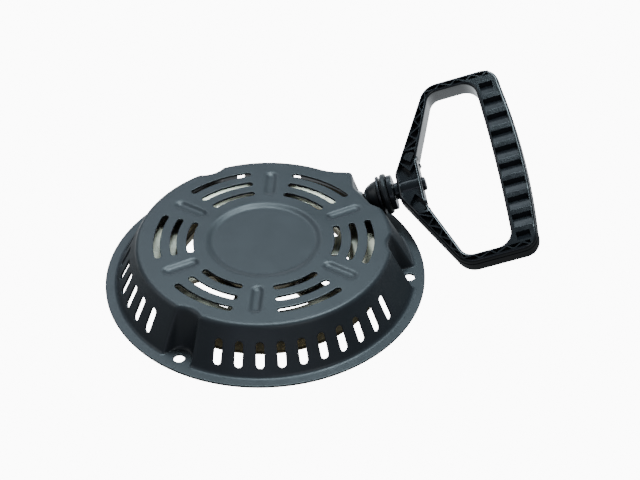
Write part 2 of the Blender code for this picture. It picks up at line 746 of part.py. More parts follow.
def build_buffer(material, parent):
    s0, s1 = BUFFER_S
    outline = [(4.6, s0), (6.9, s0 + 1.7 * MM), (8.4, s0 + 3.9 * MM), (9.5, s0 + 6.4 * MM), (10.2, s1)]
    profile = [(ROPE_BORE_R, s1), (ROPE_BORE_R, s0)] + [(r * MM, s) for r, s in outline]
    return turned("buffer_cone", profile, 20, material, parent, ALONG_X)


def build_handle_rings(materials, parent):
    turned("stop_disc", tube_profile(ROPE_BORE_R, STOP_DISC_R, *STOP_DISC_S), 24, materials["steel"], parent, ALONG_X)
    neck_s = RING_S[0] + 1.0 * MM
    ring = [(ROPE_BORE_R, RING_S[0]), (9.6 * MM, RING_S[0]), (9.6 * MM, neck_s), (RING_R - 0.8 * MM, neck_s),
            (RING_R, neck_s + 0.9 * MM), (RING_R, RING_S[1] - 0.9 * MM), (RING_R - 0.8 * MM, RING_S[1]),
            (ROPE_BORE_R, RING_S[1])]
    turned("buffer_ring", ring, 24, materials["rubber"], parent, ALONG_X)
    turned("handle_collar", tube_profile(ROPE_BORE_R, COLLAR_R, *COLLAR_S), 24, materials["plastic"], parent, ALONG_X)


def grip_edge(corner_s, half_w, bow, steps):
    """Points of a bowed edge from -half_w to half_w."""
    points = []
    for k in range(steps + 1):
        share = -1 + 2 * k / steps
        points.append((corner_s + bow * (1 - share * share), half_w * share, 0))
    return points


def handle_outline():
    lower = [(HANDLE_S0, -8.5 * MM, 6 * MM), (52.6 * MM, -HANDLE_HALF_W, 13 * MM),
             (HANDLE_S1, -HANDLE_HALF_W, 10 * MM)]
    upper = [(s, -w, r) for s, w, r in reversed(lower)]
    bow = grip_edge(HANDLE_S1, HANDLE_HALF_W - 12 * MM, HANDLE_BOW, 8)
    return rounded(lower + bow + upper, 5)


def opening_outline():
    lower = [(HUB_INNER_S, -16.5 * MM, 12 * MM), (54.6 * MM, -OPENING_HALF_W, 8 * MM),
             (OPENING_S1, -OPENING_HALF_W, 10 * MM)]
    upper = [(s, -w, r) for s, w, r in reversed(lower)]
    bow = grip_edge(OPENING_S1, OPENING_HALF_W - 12 * MM, 1.0 * MM, 4)
    return rounded(lower + bow + upper, 5)


def bar_line(name):
    """Ends of a bar's centreline and its width, for the upper half of the handle."""
    bars = {"hub": ((31.0, 11.5), (36.9, 24.0), 9.5), "arm": ((36.9, 26.0), (49.2, 52.4), 6.2),
            "side": ((58.5, 61.8), (85.0, 61.8), 4.6)}
    return bars[name]


def add_truss_pockets(mesh_bm, start, end, width, count, low, high):
    """Triangular pockets along a bar, which leave a zigzag rib between them."""
    start = Vector(start) * MM
    end = Vector(end) * MM
    ahead = (end - start) / count
    side = Vector((-ahead.y, ahead.x)).normalized() * (width / 2 - 1.0) * MM
    rib = ahead * 0.12
    for k in range(count):
        first = start + ahead * k + rib
        last = start + ahead * (k + 1) - rib
        middle = (first + last) / 2
        flip = side if k % 2 else -side
        triangle = [first - flip, last - flip, last - flip * 0.6, middle + flip, first - flip * 0.6]
        add_prism(mesh_bm, [tuple(point) for point in triangle], low, high)


def add_handle_pockets(mesh_bm):
    half = HANDLE_T / 2
    for low, high in ((half - TRUSS_DEPTH, half + 2 * MM), (-half - 2 * MM, -half + TRUSS_DEPTH)):
        for mirror in (1, -1):
            for name, count in (("hub", 1), ("arm", 5), ("side", 5)):
                start, end, width = bar_line(name)
                start = (start[0], start[1] * mirror)
                end = (end[0], end[1] * mirror)
                add_truss_pockets(mesh_bm, start, end, width, count, low, high)
    for k in range(GRIP_POCKETS):
        w = (k - (GRIP_POCKETS - 1) / 2) * GRIP_POCKET_PITCH
        share = w / HANDLE_HALF_W
        outer = HANDLE_S1 + HANDLE_BOW * (1 - share * share) - (2.6 if abs(w) < 50 * MM else 4.4) * MM
        inner = OPENING_S1 + 2.6 * MM
        low_w = w - GRIP_POCKET_W / 2
        high_w = w + GRIP_POCKET_W / 2
        outline = [(inner, low_w), (outer, low_w), (outer, high_w), (inner, high_w)]
        add_prism(mesh_bm, outline, half - GRIP_POCKET_DEPTH, half + 2 * MM)
        add_prism(mesh_bm, outline, -half - 2 * MM, -half + GRIP_POCKET_DEPTH)


def build_handle(material, parent):
    mesh_bm = bmesh.new()
    add_prism(mesh_bm, handle_outline(), -HANDLE_T / 2, HANDLE_T / 2)
    handle = finish_mesh("handle", mesh_bm, material, parent)
    cut(handle, "finger_opening", lambda bm: add_prism(bm, opening_outline(), -20 * MM, 20 * MM))
    cut(handle, "handle_pockets", add_handle_pockets)
    stem = [(0, STEM_S0), (STEM_R, STEM_S0), (STEM_R, HUB_INNER_S - 2 * MM), (0, HUB_INNER_S - 2 * MM)]
    join(handle, "handle_stem", lambda bm: add_turned(bm, stem, 16, ALONG_X))
    seat_s = KNOT_S - GAP
    seat_r = KNOT_R + 0.5 * MM
    bore = [(0, 10 * MM), (ROPE_BORE_R, 10 * MM), (ROPE_BORE_R, seat_s), (seat_r, seat_s),
            (seat_r, 45 * MM), (0, 45 * MM)]
    cut(handle, "handle_bore", lambda bm: add_turned(bm, bore, 16, ALONG_X))
    return handle


def build_handle_plug(material, parent):
    """Cap over the knot, flush with the finger opening."""
    start = KNOT_S + KNOT_R * KNOT_LENGTH + 0.4 * MM
    end = HUB_INNER_S + 2.2 * MM
    radius = KNOT_R + 0.2 * MM
    profile = [(0, start), (radius, start), (radius, end - 0.6 * MM), (radius - 1 * MM, end), (0, end)]
    return turned("handle_plug", profile, 16, material, parent, ALONG_X)


# ---------------------------------------------------------------- assembly

def add_empty(name, matrix=None):
    empty = bpy.data.objects.new(name, None)
    bpy.context.scene.collection.objects.link(empty)
    if matrix:
        empty.matrix_world = matrix
    return empty


def main():
    clear_scene()
    materials = {
        "paint": make_material("black_paint", (0.030, 0.034, 0.040), 0.42, 0.0),
        "zinc": make_material("yellow_zinc", (0.62, 0.56, 0.40), 0.32, 1.0),
        "steel": make_material("bright_steel", (0.45, 0.45, 0.46), 0.35, 1.0),
        "spring": make_material("spring_steel", (0.12, 0.12, 0.14), 0.35, 1.0),
        "plastic": make_material("black_plastic", (0.012, 0.014, 0.017), 0.38, 0.0),
        "rubber": make_material("black_rubber", (0.015, 0.015, 0.017), 0.6, 0.0),
        "rope": make_material("rope", (0.09, 0.09, 0.09), 0.9, 0.0),
        "brass": make_material("brass", (0.60, 0.45, 0.20), 0.35, 1.0),
    }
    crank_axis = add_empty("crank_axis")
    rope_axis = add_empty("rope_axis", axis_matrix())

    build_cover(materials["paint"])
    build_rope_guide(materials["steel"], rope_axis)
    build_post(materials["steel"])
    build_spring_case(materials["zinc"])
    build_recoil_spring(materials["spring"])
    build_centre_screw(materials["steel"])
    turned("screw_washer", tube_profile(SCREW_R + GAP, WASHER_R, *WASHER_Z), 24, materials["steel"])
    build_friction_spring(materials["spring"], crank_axis)
    build_rope_lead(materials["rope"])

    reel_half("reel_upper", 1, materials["zinc"], crank_axis)
    reel_half("reel_lower", -1, materials["zinc"], crank_axis)
    build_reel_bush(materials["brass"], crank_axis)
    for k, angle in enumerate(RIVET_ANGLES):
        build_rivet("reel_rivet_%d" % (k + 1), angle, materials["steel"], crank_axis)
    build_rope_coil(materials["rope"], crank_axis)
    build_reel_knot(materials["rope"], crank_axis)
    for k, angle in enumerate(PAWL_ANGLES):
        build_pawl(k + 1, angle, materials["steel"])
        build_pawl_pin(k + 1, angle, materials["steel"], crank_axis)
        build_pawl_spring(k + 1, angle, materials["spring"], crank_axis)
    build_guide_plate(materials["zinc"])

    build_rope_end(materials["rope"], rope_axis)
    turned("rope_knot_handle", knot_profile(KNOT_S, KNOT_R), 12, materials["rope"], rope_axis, ALONG_X)
    build_buffer(materials["rubber"], rope_axis)
    build_handle_rings(materials, rope_axis)
    build_handle(materials["plastic"], rope_axis)
    build_handle_plug(materials["plastic"], rope_axis)


main()
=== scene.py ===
"""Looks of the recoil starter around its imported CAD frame. Metres, +Z up, flange plane at z = 0."""

from math import acos, atan2, cos, hypot, pi, radians, sin, sqrt, tan

import bmesh
import bpy
import numpy as np
from mathutils import Matrix, Vector
from mathutils.geometry import delaunay_2d_cdt


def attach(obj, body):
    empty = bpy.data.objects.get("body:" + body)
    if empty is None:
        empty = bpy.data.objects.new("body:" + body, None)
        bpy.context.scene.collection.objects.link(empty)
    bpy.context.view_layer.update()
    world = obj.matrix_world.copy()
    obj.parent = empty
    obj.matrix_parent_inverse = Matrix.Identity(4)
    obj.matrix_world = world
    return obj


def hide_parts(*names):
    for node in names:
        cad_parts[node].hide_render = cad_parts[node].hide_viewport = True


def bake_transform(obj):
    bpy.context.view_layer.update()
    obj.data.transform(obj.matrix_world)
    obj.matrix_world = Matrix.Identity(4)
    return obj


MM = 0.001
GAP = 0.3
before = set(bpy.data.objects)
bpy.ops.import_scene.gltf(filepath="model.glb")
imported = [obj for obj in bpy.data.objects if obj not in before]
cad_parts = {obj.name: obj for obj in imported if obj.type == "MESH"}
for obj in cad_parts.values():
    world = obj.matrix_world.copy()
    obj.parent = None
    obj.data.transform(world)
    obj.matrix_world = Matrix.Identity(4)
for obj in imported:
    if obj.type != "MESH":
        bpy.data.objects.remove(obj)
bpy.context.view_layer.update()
context = bpy.context

# Camera: turn from the -Y side, height and roll in degrees, the rest in metres and millimetres of lens
CAMERA_AZIMUTH = 3.6
CAMERA_ELEVATION = 39.84
CAMERA_ROLL = -0.98
CAMERA_DISTANCE = 1.0
CAMERA_ASIDE = 0.0334
CAMERA_RAISED = 0.0215
CAMERA_LENS = 91.87

# Rope axis outside the cover and the handle's turn about it (millimetres from here on)
GUIDE_POINT = Vector((59.1, 57.2, 15.0))
AXIS_AZIMUTH = 5.7
AXIS_ELEVATION = 16.8
HANDLE_ROLL = 23.5

# Cover
SHEET = 1.5
COVER_H = 29.0
FLANGE_R = 97.5
WALL_FOOT_R = 88.5
WALL_FOOT_Z = 6.0
WALL_SLOPE = 0.511
DISH_R = 35.0
DISH_FLOOR_R = 31.0
DISH_DEPTH = 1.3
LUG_ANGLES = (0, 120, 240)
BOLT_CIRCLE_R = 88.0
BOLT_HOLE_R = 3.3
POCKET_R = 8.0
POCKET_FLARE = 0.18
ARC_SLOTS = ((44.6, 15.8), (54.5, 16.2), (64.4, 16.5))
ARC_SLOT_W = 4.0
BEAD_R0 = 46.5
BEAD_R1 = 62.0
BEAD_HALF_W = 3.8
BEAD_DEPTH = 1.1
WALL_SLOT_STEP = 8.33
WALL_SLOT_GROUPS = ((-104, 10), (-212.4, 10), (80, 4))
WALL_SLOT_W = 4.8
WALL_SLOT_Z0 = 6.0
WALL_SLOT_Z1 = 20.3
EAR_FACE_S = -3.5
EAR_SIDE_Y = 68.5
EAR_SIDE_SLOPE = 0.24
RECESS_R = 74.0
RECESS_START = 24.0
RECESS_FULL = 31.0
EAR_END = 72.0
GUIDE_HOLE_R = 6.2
GUIDE_LIP_R = 7.2

# Flat layout of the cover's skin: the flat radius at which each of its parts ends
FLAT_PLANE = 68.0
FLAT_EDGE = 76.0
FLAT_WALL = 80.0
FLAT_FOOT = 106.0
FLAT_FLANGE = 110.0
FLAT_RIM = 124.0
EDGE_FILLET = 3.4
FOOT_FILLET = 2.8

# Reel
REEL_R = 71.5
REEL_MID_Z = 12.15
REEL_SHEET = 1.2
DRUM_R = 54.0
GROOVE_HALF = 5.0
UPPER_FLANK_RISE = 3.5
LOWER_FLANK_RISE = 4.7
WINDOW_R0 = 34.5
WINDOW_R1 = 51.0
WINDOW_HALF_ANGLE = 20.0
WINDOW_PHASE = -12.0
HUB_BORE_R = 7.25
HUB_R = 9.3
RIVET_CIRCLE_R = 29.0
RIVET_ANGLES = (15, 135, 195, 315)
POST_R = 7.0
CASE_R = 31.5
CASE_Z0 = 15.0
CASE_Z1 = COVER_H - DISH_DEPTH - SHEET - GAP
PAWL_Z = (7.2, 10.4)
PAWL_CIRCLE_R = 24.0
PAWL_ANGLES = (60, 240)
PAWL_PIN_R = 2.0
PAWL_LENGTH = 20.0
PAWL_HUB_R = 4.2
PEG_CIRCLE_R = 15.0
PLATE_R = 20.0
PLATE_Z = (5.2, 6.6)

# Rope
ROPE_R = 2.2
ROPE_FIRST_R = 56.7
ROPE_LAST_R = 61.3
ROPE_SIDE = 2.35
ROPE_TURNS = 2.6
ROPE_BORE_R = 2.7
KNOT_HOLE_Z = 9.05
BRAID_PHASE = 1400.0  # radians per metre of rope

# Handle
HANDLE_T = 14.5
HANDLE_S0 = 22.6
HANDLE_S1 = 99.8
HANDLE_HALF_W = 64.6
HANDLE_BOW = 3.2
HUB_INNER_S = 38.0
OPENING_HALF_W = 59.0
OPENING_S1 = 84.6
STEM_R = 5.4
KNOT_S = 31.0
KNOT_R = 4.1
KNOT_STRETCH = 0.8
KNOT_LENGTH = 1.85 * KNOT_STRETCH
GRIP_POCKETS = 10
GRIP_POCKET_PITCH = 12.0
EDGE_BEVEL = 1.6
BAND_RISE = 0.3
BAND_MARGIN = 4.6
RAMP_DEPTH = 2.9
RAMP_RUN = 7.7
RAMP_LIMIT = 58.4
TRUSS_DEPTH = 3.6
TRUSS_LEGS = 16
RIB_W = 0.85
HUB_POCKET = ((36.6, 13.4), (38.5, 22.0), (31.6, 22.0), (25.8, 12.0), (24.2, 8.0))
HUB_V = ((27.4, 15.4), (32.6, 8.2), (38.6, 16.2))
HUB_PLATE = ((29.6, 18.0), (34.0, 14.3), (37.6, 20.2), (33.2, 22.6))

# Studio: radiance that shows as white, ambient light, and softboxes of
# (name, azimuth, elevation, distance, width, height, radiance, colour), the azimuth turned from +X towards +Y
WHITE = 11.0
AMBIENT = 0.16
SOFTBOXES = (
    ("back_softbox", 92, 36, 1.5, 1.6, 0.75, 0.42, (0.66, 0.90, 1.0)),
    ("high_softbox", 78, 70, 1.5, 0.8, 0.42, 23.0, (0.72, 0.91, 1.0)),
    ("grip_softbox", 118, 42, 1.5, 0.45, 0.6, 2.2, (0.80, 0.90, 1.0)),
    ("low_back_softbox", 76, 9, 1.4, 2.4, 0.5, 1.0, (0.84, 0.93, 1.0)),
    ("low_front_softbox", 264, 9, 1.5, 0.9, 0.5, 0.8, (0.72, 0.78, 1.0)),
    ("left_softbox", 185, 38, 1.6, 0.9, 0.8, 1.2, (1.0, 1.0, 1.0)),
    ("front_fill", 300, 35, 1.8, 0.9, 0.8, 1.6, (0.95, 0.97, 1.0)),
)


# ---- camera

def add_object(name, data):
    obj = bpy.data.objects.new(name, data)
    context.scene.collection.objects.link(obj)
    return obj


def place_camera():
    roll = radians(CAMERA_ROLL)
    back = direction(CAMERA_AZIMUTH - 90, CAMERA_ELEVATION)
    right = (-back).cross(Vector((0, 0, 1))).normalized()
    up = right.cross(-back)
    across = right * cos(roll) + up * sin(roll)
    upward = -right * sin(roll) + up * cos(roll)
    data = bpy.data.cameras.new("camera")
    data.sensor_width = 36.0
    data.lens = CAMERA_LENS
    data.clip_start = 0.05
    data.clip_end = 20.0
    camera = add_object("camera", data)
    matrix = Matrix((across, upward, back)).transposed().to_4x4()
    matrix.translation = back * CAMERA_DISTANCE + across * CAMERA_ASIDE + upward * CAMERA_RAISED
    camera.matrix_world = matrix
    context.scene.camera = camera


# ---- materials

def add_node(tree, kind, inputs=None, **settings):
    """Shader node whose inputs are linked or given values."""
    node = tree.nodes.new(kind)
    for key, value in settings.items():
        setattr(node, key, value)
    for socket, source in (inputs or {}).items():
        if isinstance(source, bpy.types.NodeSocket):
            tree.links.new(source, node.inputs[socket])
        else:
            node.inputs[socket].default_value = source
    return node


def map_range(low, high, start, end):
    return {"From Min": start, "From Max": end, "To Min": low, "To Max": high}


class Look:
    """A material whose colour, roughness and relief come from nodes."""

    def __init__(self, name, metallic=0.0, **sockets):
        self.material = bpy.data.materials.new(name)
        self.material.use_nodes = True
        self.tree = self.material.node_tree
        self.shader = self.tree.nodes["Principled BSDF"]
        self.shader.inputs["Metallic"].default_value = metallic
        for socket, value in sockets.items():
            self.shader.inputs[socket.replace("_", " ")].default_value = value
        self.coords = self.tree.nodes.new("ShaderNodeTexCoord")

    def node(self, kind, inputs=None, **settings):
        return add_node(self.tree, kind, inputs, **settings)

    def noise(self, scale, detail, stretch=None):
        vector = self.coords.outputs["Object"]
        if stretch:
            vector = self.node("ShaderNodeMapping", {"Vector": vector, "Scale": stretch}).outputs["Vector"]
        links = {"Vector": vector, "Scale": scale, "Detail": detail, "Roughness": 0.55}
        return self.node("ShaderNodeTexNoise", links).outputs["Fac"]

    def spread(self, source, low, high, start=0.3, end=0.7):
        inputs = {"Value": source, **map_range(low, high, start, end)}
        return self.node("ShaderNodeMapRange", inputs).outputs["Result"]

    def clouds(self, scale, detail, low=0, high=1):
        return self.spread(self.noise(scale, detail), low, high)

    def math(self, operation, *values):
        return self.node("ShaderNodeMath", dict(enumerate(values)), operation=operation).outputs[0]

    def blend(self, amount, first, second):
        inputs = {"Factor": amount}
        for socket, value in ((6, first), (7, second)):
            inputs[socket] = value if isinstance(value, bpy.types.NodeSocket) else (*value, 1.0)
        return self.node("ShaderNodeMix", inputs, data_type="RGBA").outputs[2]

    def colour(self, source):
        self.tree.links.new(source, self.shader.inputs["Base Color"])

    def roughness(self, *clouds):
        self.tree.links.new(self.clouds(*clouds), self.shader.inputs["Roughness"])

    def relief(self, *layers):
        """Bump layers of (height source, distance in metres), one over the other."""
        normal = None
        for source, distance in layers:
            links = {"Height": source, "Distance": distance, "Strength": 1.0}
            if normal:
                links["Normal"] = normal
            normal = self.node("ShaderNodeBump", links).outputs["Normal"]
        self.tree.links.new(normal, self.shader.inputs["Normal"])
        return self.material


def painted_steel():
    """Satin powder coat: faint orange peel, soft uneven gloss, a few pale rub marks."""
    look = Look("cover_paint")
    rubs = look.spread(look.noise(170, 5, stretch=(1.0, 0.35, 1.0)), 0.0, 1.0, 0.66, 0.80)
    base = look.blend(look.clouds(28, 4), (0.0225, 0.0265, 0.0310), (0.0300, 0.0345, 0.0395))
    look.colour(look.blend(look.math("MULTIPLY", rubs, 0.25), base, (0.070, 0.076, 0.082)))
    look.roughness(60, 4, 0.37, 0.46)
    return look.relief((look.noise(900, 2), 0.00002), (look.noise(2600, 2), 0.000006))


def zinc_plate():
    """Yellow zinc over steel: warm cream with cooler clouds and fine rolling marks."""
    look = Look("zinc_plate", 1.0)
    clouds = look.blend(look.clouds(45, 5), (0.80, 0.72, 0.54), (0.68, 0.66, 0.55))
    look.colour(look.blend(look.clouds(260, 4, 0, 0.35), clouds, (0.52, 0.44, 0.30)))
    look.roughness(120, 4, 0.24, 0.42)
    return look.relief((look.noise(700, 3), 0.00002))


def bare_steel(name, tint, low, high):
    look = Look(name, 1.0)
    darker = tuple(value * 0.72 for value in tint)
    look.colour(look.blend(look.clouds(140, 5), tint, darker))
    look.roughness(300, 4, low, high)
    return look.relief((look.noise(1500, 3), 0.000012))


def moulded_plastic():
    """Semi-gloss nylon: fine moulding grain and slight sink marks."""
    look = Look("handle_plastic", 0.0, IOR=1.5)
    look.colour(look.blend(look.clouds(90, 4), (0.0085, 0.0100, 0.0125), (0.0135, 0.0150, 0.0180)))
    look.roughness(130, 4, 0.19, 0.27)
    return look.relief((look.noise(1900, 2), 0.000012), (look.noise(120, 2), 0.00008))


def soft_rubber():
    look = Look("buffer_rubber")
    look.colour(look.blend(look.clouds(120, 4), (0.012, 0.0125, 0.014), (0.020, 0.021, 0.023)))
    look.roughness(200, 3, 0.33, 0.44)
    return look.relief((look.noise(2200, 3), 0.00002))


def braided_rope(name, places):
    """Crossing strands: places() gives the distance along the rope and the turn about it."""
    look = Look(name, 0.0, Sheen_Weight=0.25)
    along, around = places(look)
    strands = []
    for hand in (1.0, -1.0):
        phase = look.math("ADD", along, look.math("MULTIPLY", around, 4.0 * hand))
        strands.append(look.math("ABSOLUTE", look.math("SINE", phase)))
    weave = look.math("MAXIMUM", *strands)
    fleck = look.spread(look.math("MULTIPLY", *strands), 0.0, 1.0, 0.55, 0.95)
    base = look.blend(look.clouds(2500, 3), (0.055, 0.057, 0.060), (0.110, 0.112, 0.115))
    look.colour(look.blend(look.math("MULTIPLY", fleck, 0.5), base, (0.24, 0.24, 0.24)))
    look.roughness(2500, 3, 0.75, 0.95)
    return look.relief((weave, 0.0003), (look.noise(2500, 3), 0.00005))


def places_by_uv(look):
    parts = look.node("ShaderNodeSeparateXYZ", {"Vector": look.coords.outputs["UV"]}).outputs
    return look.math("MULTIPLY", parts[1], BRAID_PHASE), look.math("MULTIPLY", parts[0], 2 * pi)


def places_by_axis(look):
    """Laid out from the rope axis, so that the braid doesn't stretch as the rope is pulled."""
    inverse = axis_matrix().inverted()
    turn = tuple(inverse.to_euler())
    shift = tuple(inverse.translation * MM)
    inputs = {"Vector": look.coords.outputs["Object"], "Rotation": turn, "Location": shift}
    mapped = look.node("ShaderNodeMapping", inputs)
    parts = look.node("ShaderNodeSeparateXYZ", {"Vector": mapped.outputs["Vector"]}).outputs
    return look.math("MULTIPLY", parts[0], BRAID_PHASE), look.math("ARCTAN2", parts[1], parts[2])


# ---- shapes

def polar(radius, degrees):
    return radius * cos(radians(degrees)), radius * sin(radians(degrees))


def direction(azimuth, elevation):
    """Unit vector at an azimuth, turned from +X towards +Y, and an elevation in degrees."""
    level, height = polar(1, elevation)
    return Vector((*polar(level, azimuth), height))


def axis_vectors():
    roll = radians(HANDLE_ROLL)
    along = direction(AXIS_AZIMUTH, AXIS_ELEVATION)
    level = direction(AXIS_AZIMUTH + 90, 0)
    across = level * cos(roll) + along.cross(level) * sin(roll)
    return along, across, along.cross(across)


def axis_matrix():
    """Frame at the rope guide in millimetres: X along the rope, Y along the grip, Z through it."""
    place = Matrix(axis_vectors()).transposed().to_4x4()
    place.translation = GUIDE_POINT
    return place


ALONG_X = Matrix.Rotation(pi / 2, 4, "Y")


def arc(centre, radius, start, end, steps):
    points = [polar(radius, start + (end - start) * k / steps) for k in range(steps + 1)]
    return [(centre[0] + x, centre[1] + y) for x, y in points]


def circle(radius, segments, centre=(0, 0)):
    return arc(centre, radius, 0, 360 - 360 / segments, segments - 1)


def capsule(x0, x1, width, cap_steps, side_steps=1):
    half = width / 2
    run = (x1 - x0 - width) / side_steps
    right = arc((x1 - half, 0), half, -90, 90, cap_steps)
    left = arc((x0 + half, 0), half, 90, 270, cap_steps)
    top = [(x1 - half - run * k, half) for k in range(1, side_steps)]
    bottom = [(x0 + half + run * k, -half) for k in range(1, side_steps)]
    return right + top + left + bottom


def arc_slot(radius, middle, half_angle, width, steps, cap_steps):
    half = width / 2
    a0 = middle - half_angle
    a1 = middle + half_angle
    points = arc((0, 0), radius + half, a0, a1, steps)
    points += arc(polar(radius, a1), half, a1, a1 + 180, cap_steps)[1:-1]
    points += arc((0, 0), radius - half, a1, a0, steps)
    points += arc(polar(radius, a0), half, a0 + 180, a0 + 360, cap_steps)[1:-1]
    return points


# Half of a corner's angle above which it is left as a point
NEARLY_STRAIGHT = radians(88.5)


def rounded(corners, steps=6):
    """Closed outline through (x, y, radius) corners, each rounded by an arc."""
    points = []
    count = len(corners)
    for i, (x, y, radius) in enumerate(corners):
        if radius == 0:
            points.append((x, y))
            continue
        here = Vector((x, y))
        back = (Vector(corners[i - 1][:2]) - here).normalized()
        ahead = (Vector(corners[(i + 1) % count][:2]) - here).normalized()
        half = acos(max(-1.0, min(1.0, back.dot(ahead)))) / 2
        if half > NEARLY_STRAIGHT:
            points.append((x, y))
            continue
        centre = here + (back + ahead).normalized() * radius / sin(half)
        first = here + back * radius / tan(half)
        last = here + ahead * radius / tan(half)
        t0 = atan2(first.y - centre.y, first.x - centre.x)
        t1 = atan2(last.y - centre.y, last.x - centre.x)
        turn = (t1 - t0 + pi) % (2 * pi) - pi
        for k in range(steps + 1):
            t = t0 + turn * k / steps
            points.append((centre.x + radius * cos(t), centre.y + radius * sin(t)))
    return points


def offset(points, distance):
    """Moves a dense counter-clockwise outline outwards."""
    moved = []
    count = len(points)
    for i, point in enumerate(points):
        run = Vector(points[(i + 1) % count]) - Vector(points[i - 1])
        run.normalize()
        moved.append((point[0] + run.y * distance, point[1] - run.x * distance))
    return moved


def add_prism(bm, outline, low, high, matrix=None):
    bottom = [bm.verts.new((x, y, low)) for x, y in outline]
    top = [bm.verts.new((x, y, high)) for x, y in outline]
    bm.faces.new(bottom[::-1])
    bm.faces.new(top)
    for i in range(len(outline)):
        j = (i + 1) % len(outline)
        bm.faces.new((bottom[i], bottom[j], top[j], top[i]))
    if matrix:
        bmesh.ops.transform(bm, matrix=matrix, verts=bottom + top)


def add_turned(bm, profile, segments, matrix=None):
    rings = []
    for r, z in profile:
        turns = [2 * pi * k / segments for k in range(segments if r > 1e-4 else 1)]
        rings.append([bm.verts.new((r * cos(t), r * sin(t), z)) for t in turns])
    for a, b in zip(rings, rings[1:] + rings[:1]):
        if len(a) == 1 and len(b) == 1:
            continue
        for k in range(segments):
            m = (k + 1) % segments
            corners = (a[k % len(a)], a[m % len(a)], b[m % len(b)], b[k % len(b)])
            bm.faces.new(list(dict.fromkeys(corners)))
    if matrix:
        bmesh.ops.transform(bm, matrix=matrix, verts=[vert for ring in rings for vert in ring])


def make_object(name, bm):
    """Object from a bmesh in millimetres."""
    bmesh.ops.recalc_face_normals(bm, faces=bm.faces)
    bmesh.ops.scale(bm, vec=(MM, MM, MM), verts=bm.verts)
    mesh = bpy.data.meshes.new(name)
    bm.to_mesh(mesh)
    bm.free()
    return add_object(name, mesh)


def shaped(name, build):
    """Object from the shapes that build() adds to a bmesh."""
    bm = bmesh.new()
    build(bm)
    return make_object(name, bm)


def modify(obj, kind, **settings):
    """Applies a modifier to an object's mesh."""
    modifier = obj.modifiers.new(kind.lower(), kind)
    for key, value in settings.items():
        setattr(modifier, key, value)
    context.view_layer.update()
    mesh = bpy.data.meshes.new_from_object(obj.evaluated_get(context.evaluated_depsgraph_get()))
    obj.modifiers.clear()
    old = obj.data
    obj.data = mesh
    bpy.data.meshes.remove(old)
    return obj


def combine(obj, build, operation="DIFFERENCE", self_crossing=False):
    """Cuts the shapes that build() adds to a bmesh out of obj, or unites them with it."""
    tool = shaped("tool", build)
    modify(obj, "BOOLEAN", object=tool, operation=operation, solver="EXACT", use_self=self_crossing)
    bpy.data.meshes.remove(tool.data)


def bevel(obj, width, segments, angle):
    modify(obj, "BEVEL", width=width * MM, segments=segments, limit_method="ANGLE",
           angle_limit=radians(angle), use_clamp_overlap=False, miter_outer="MITER_ARC")


def move(obj, matrix):
    """Moves a mesh by a matrix in millimetres."""
    obj.data.transform(Matrix.Scale(MM, 4) @ matrix @ Matrix.Scale(1 / MM, 4))


def smooth(obj, angle=35.0):
    obj.data.shade_smooth()
    obj.data.set_sharp_from_angle(angle=radians(angle))
    return modify(obj, "WEIGHTED_NORMAL", keep_sharp=True)


def eased(obj, width, angle):
    """Gives an object small edge bevels and its shading."""
    bevel(obj, width, 2, angle)
    return smooth(obj, 40)


def turned(name, profile, segments, matrix=None):
    """Turned piece from (radius, height, fillet) corners."""
    return smooth(shaped(name, lambda body: add_turned(body, rounded(profile, 4), segments, matrix)))


# How far in from a tube's end each ring lies, and its size, as shares of the radius
ROUNDED_END = ((0, 0.45), (0.15, 0.80), (0.5, 1.0))


def tube(name, points, radius, sides=16, matrix=None):
    """Round rope or wire along points, with rounded ends and UVs of (turn, length)."""
    points = [Vector(point) for point in points]
    bm = bmesh.new()
    layer = bm.loops.layers.uv.new("UVMap")
    normal = None
    rings = []
    lengths = []
    travelled = 0.0
    last = len(points) - 1
    for i, point in enumerate(points):
        ahead = (points[min(i + 1, last)] - points[max(i - 1, 0)]).normalized()
        if normal is None:
            normal = ahead.orthogonal().normalized()
        normal = (normal - ahead * normal.dot(ahead)).normalized()
        side = ahead.cross(normal)
        if i:
            travelled += (point - points[i - 1]).length
        places = [(point, radius)]
        if i in (0, last):
            inwards = ahead if i == 0 else -ahead
            places = [(point + inwards * radius * run, radius * size) for run, size in ROUNDED_END]
        for centre, r in places if i < last else reversed(places):
            turns = [2 * pi * k / sides for k in range(sides)]
            rings.append([bm.verts.new(centre + (normal * cos(t) + side * sin(t)) * r) for t in turns])
            lengths.append(travelled)
    for n, (a, b) in enumerate(zip(rings, rings[1:])):
        for k in range(sides):
            m = (k + 1) % sides
            face = bm.faces.new((a[k], a[m], b[m], b[k]))
            values = ((k, n), (k + 1, n), (k + 1, n + 1), (k, n + 1))
            for loop, (turn, ring) in zip(face.loops, values):
                loop[layer].uv = (turn / sides, lengths[ring] * MM)
    bm.faces.new(rings[0][::-1])
    bm.faces.new(rings[-1])
    if matrix:
        bmesh.ops.transform(bm, matrix=matrix, verts=bm.verts)
    obj = make_object(name, bm)
    obj.data.shade_smooth()
    return obj


def add_piece(obj, look, body, *nodes):
    """Gives an object its look and its body, and hides the CAD nodes that it stands for."""
    material, slot_name = LOOKS[look]
    obj.data.materials.clear()
    obj.data.materials.append(material)
    if body:
        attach(obj, body)
    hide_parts(*nodes)


def add_turned_piece(name, look, body, node, segments, profile, matrix=None):
    add_piece(turned(name, profile, segments, matrix), look, body, node)


# ---- cover

def smooth_min(a, b, width):
    near = np.maximum(width - np.abs(a - b), 0.0) / width
    return np.minimum(a, b) - near * near * width / 4


def smooth_max(a, b, width):
    return -smooth_min(-a, -b, width)


def smooth_step(value):
    t = np.clip(value, 0.0, 1.0)
    return t * t * (3 - 2 * t)


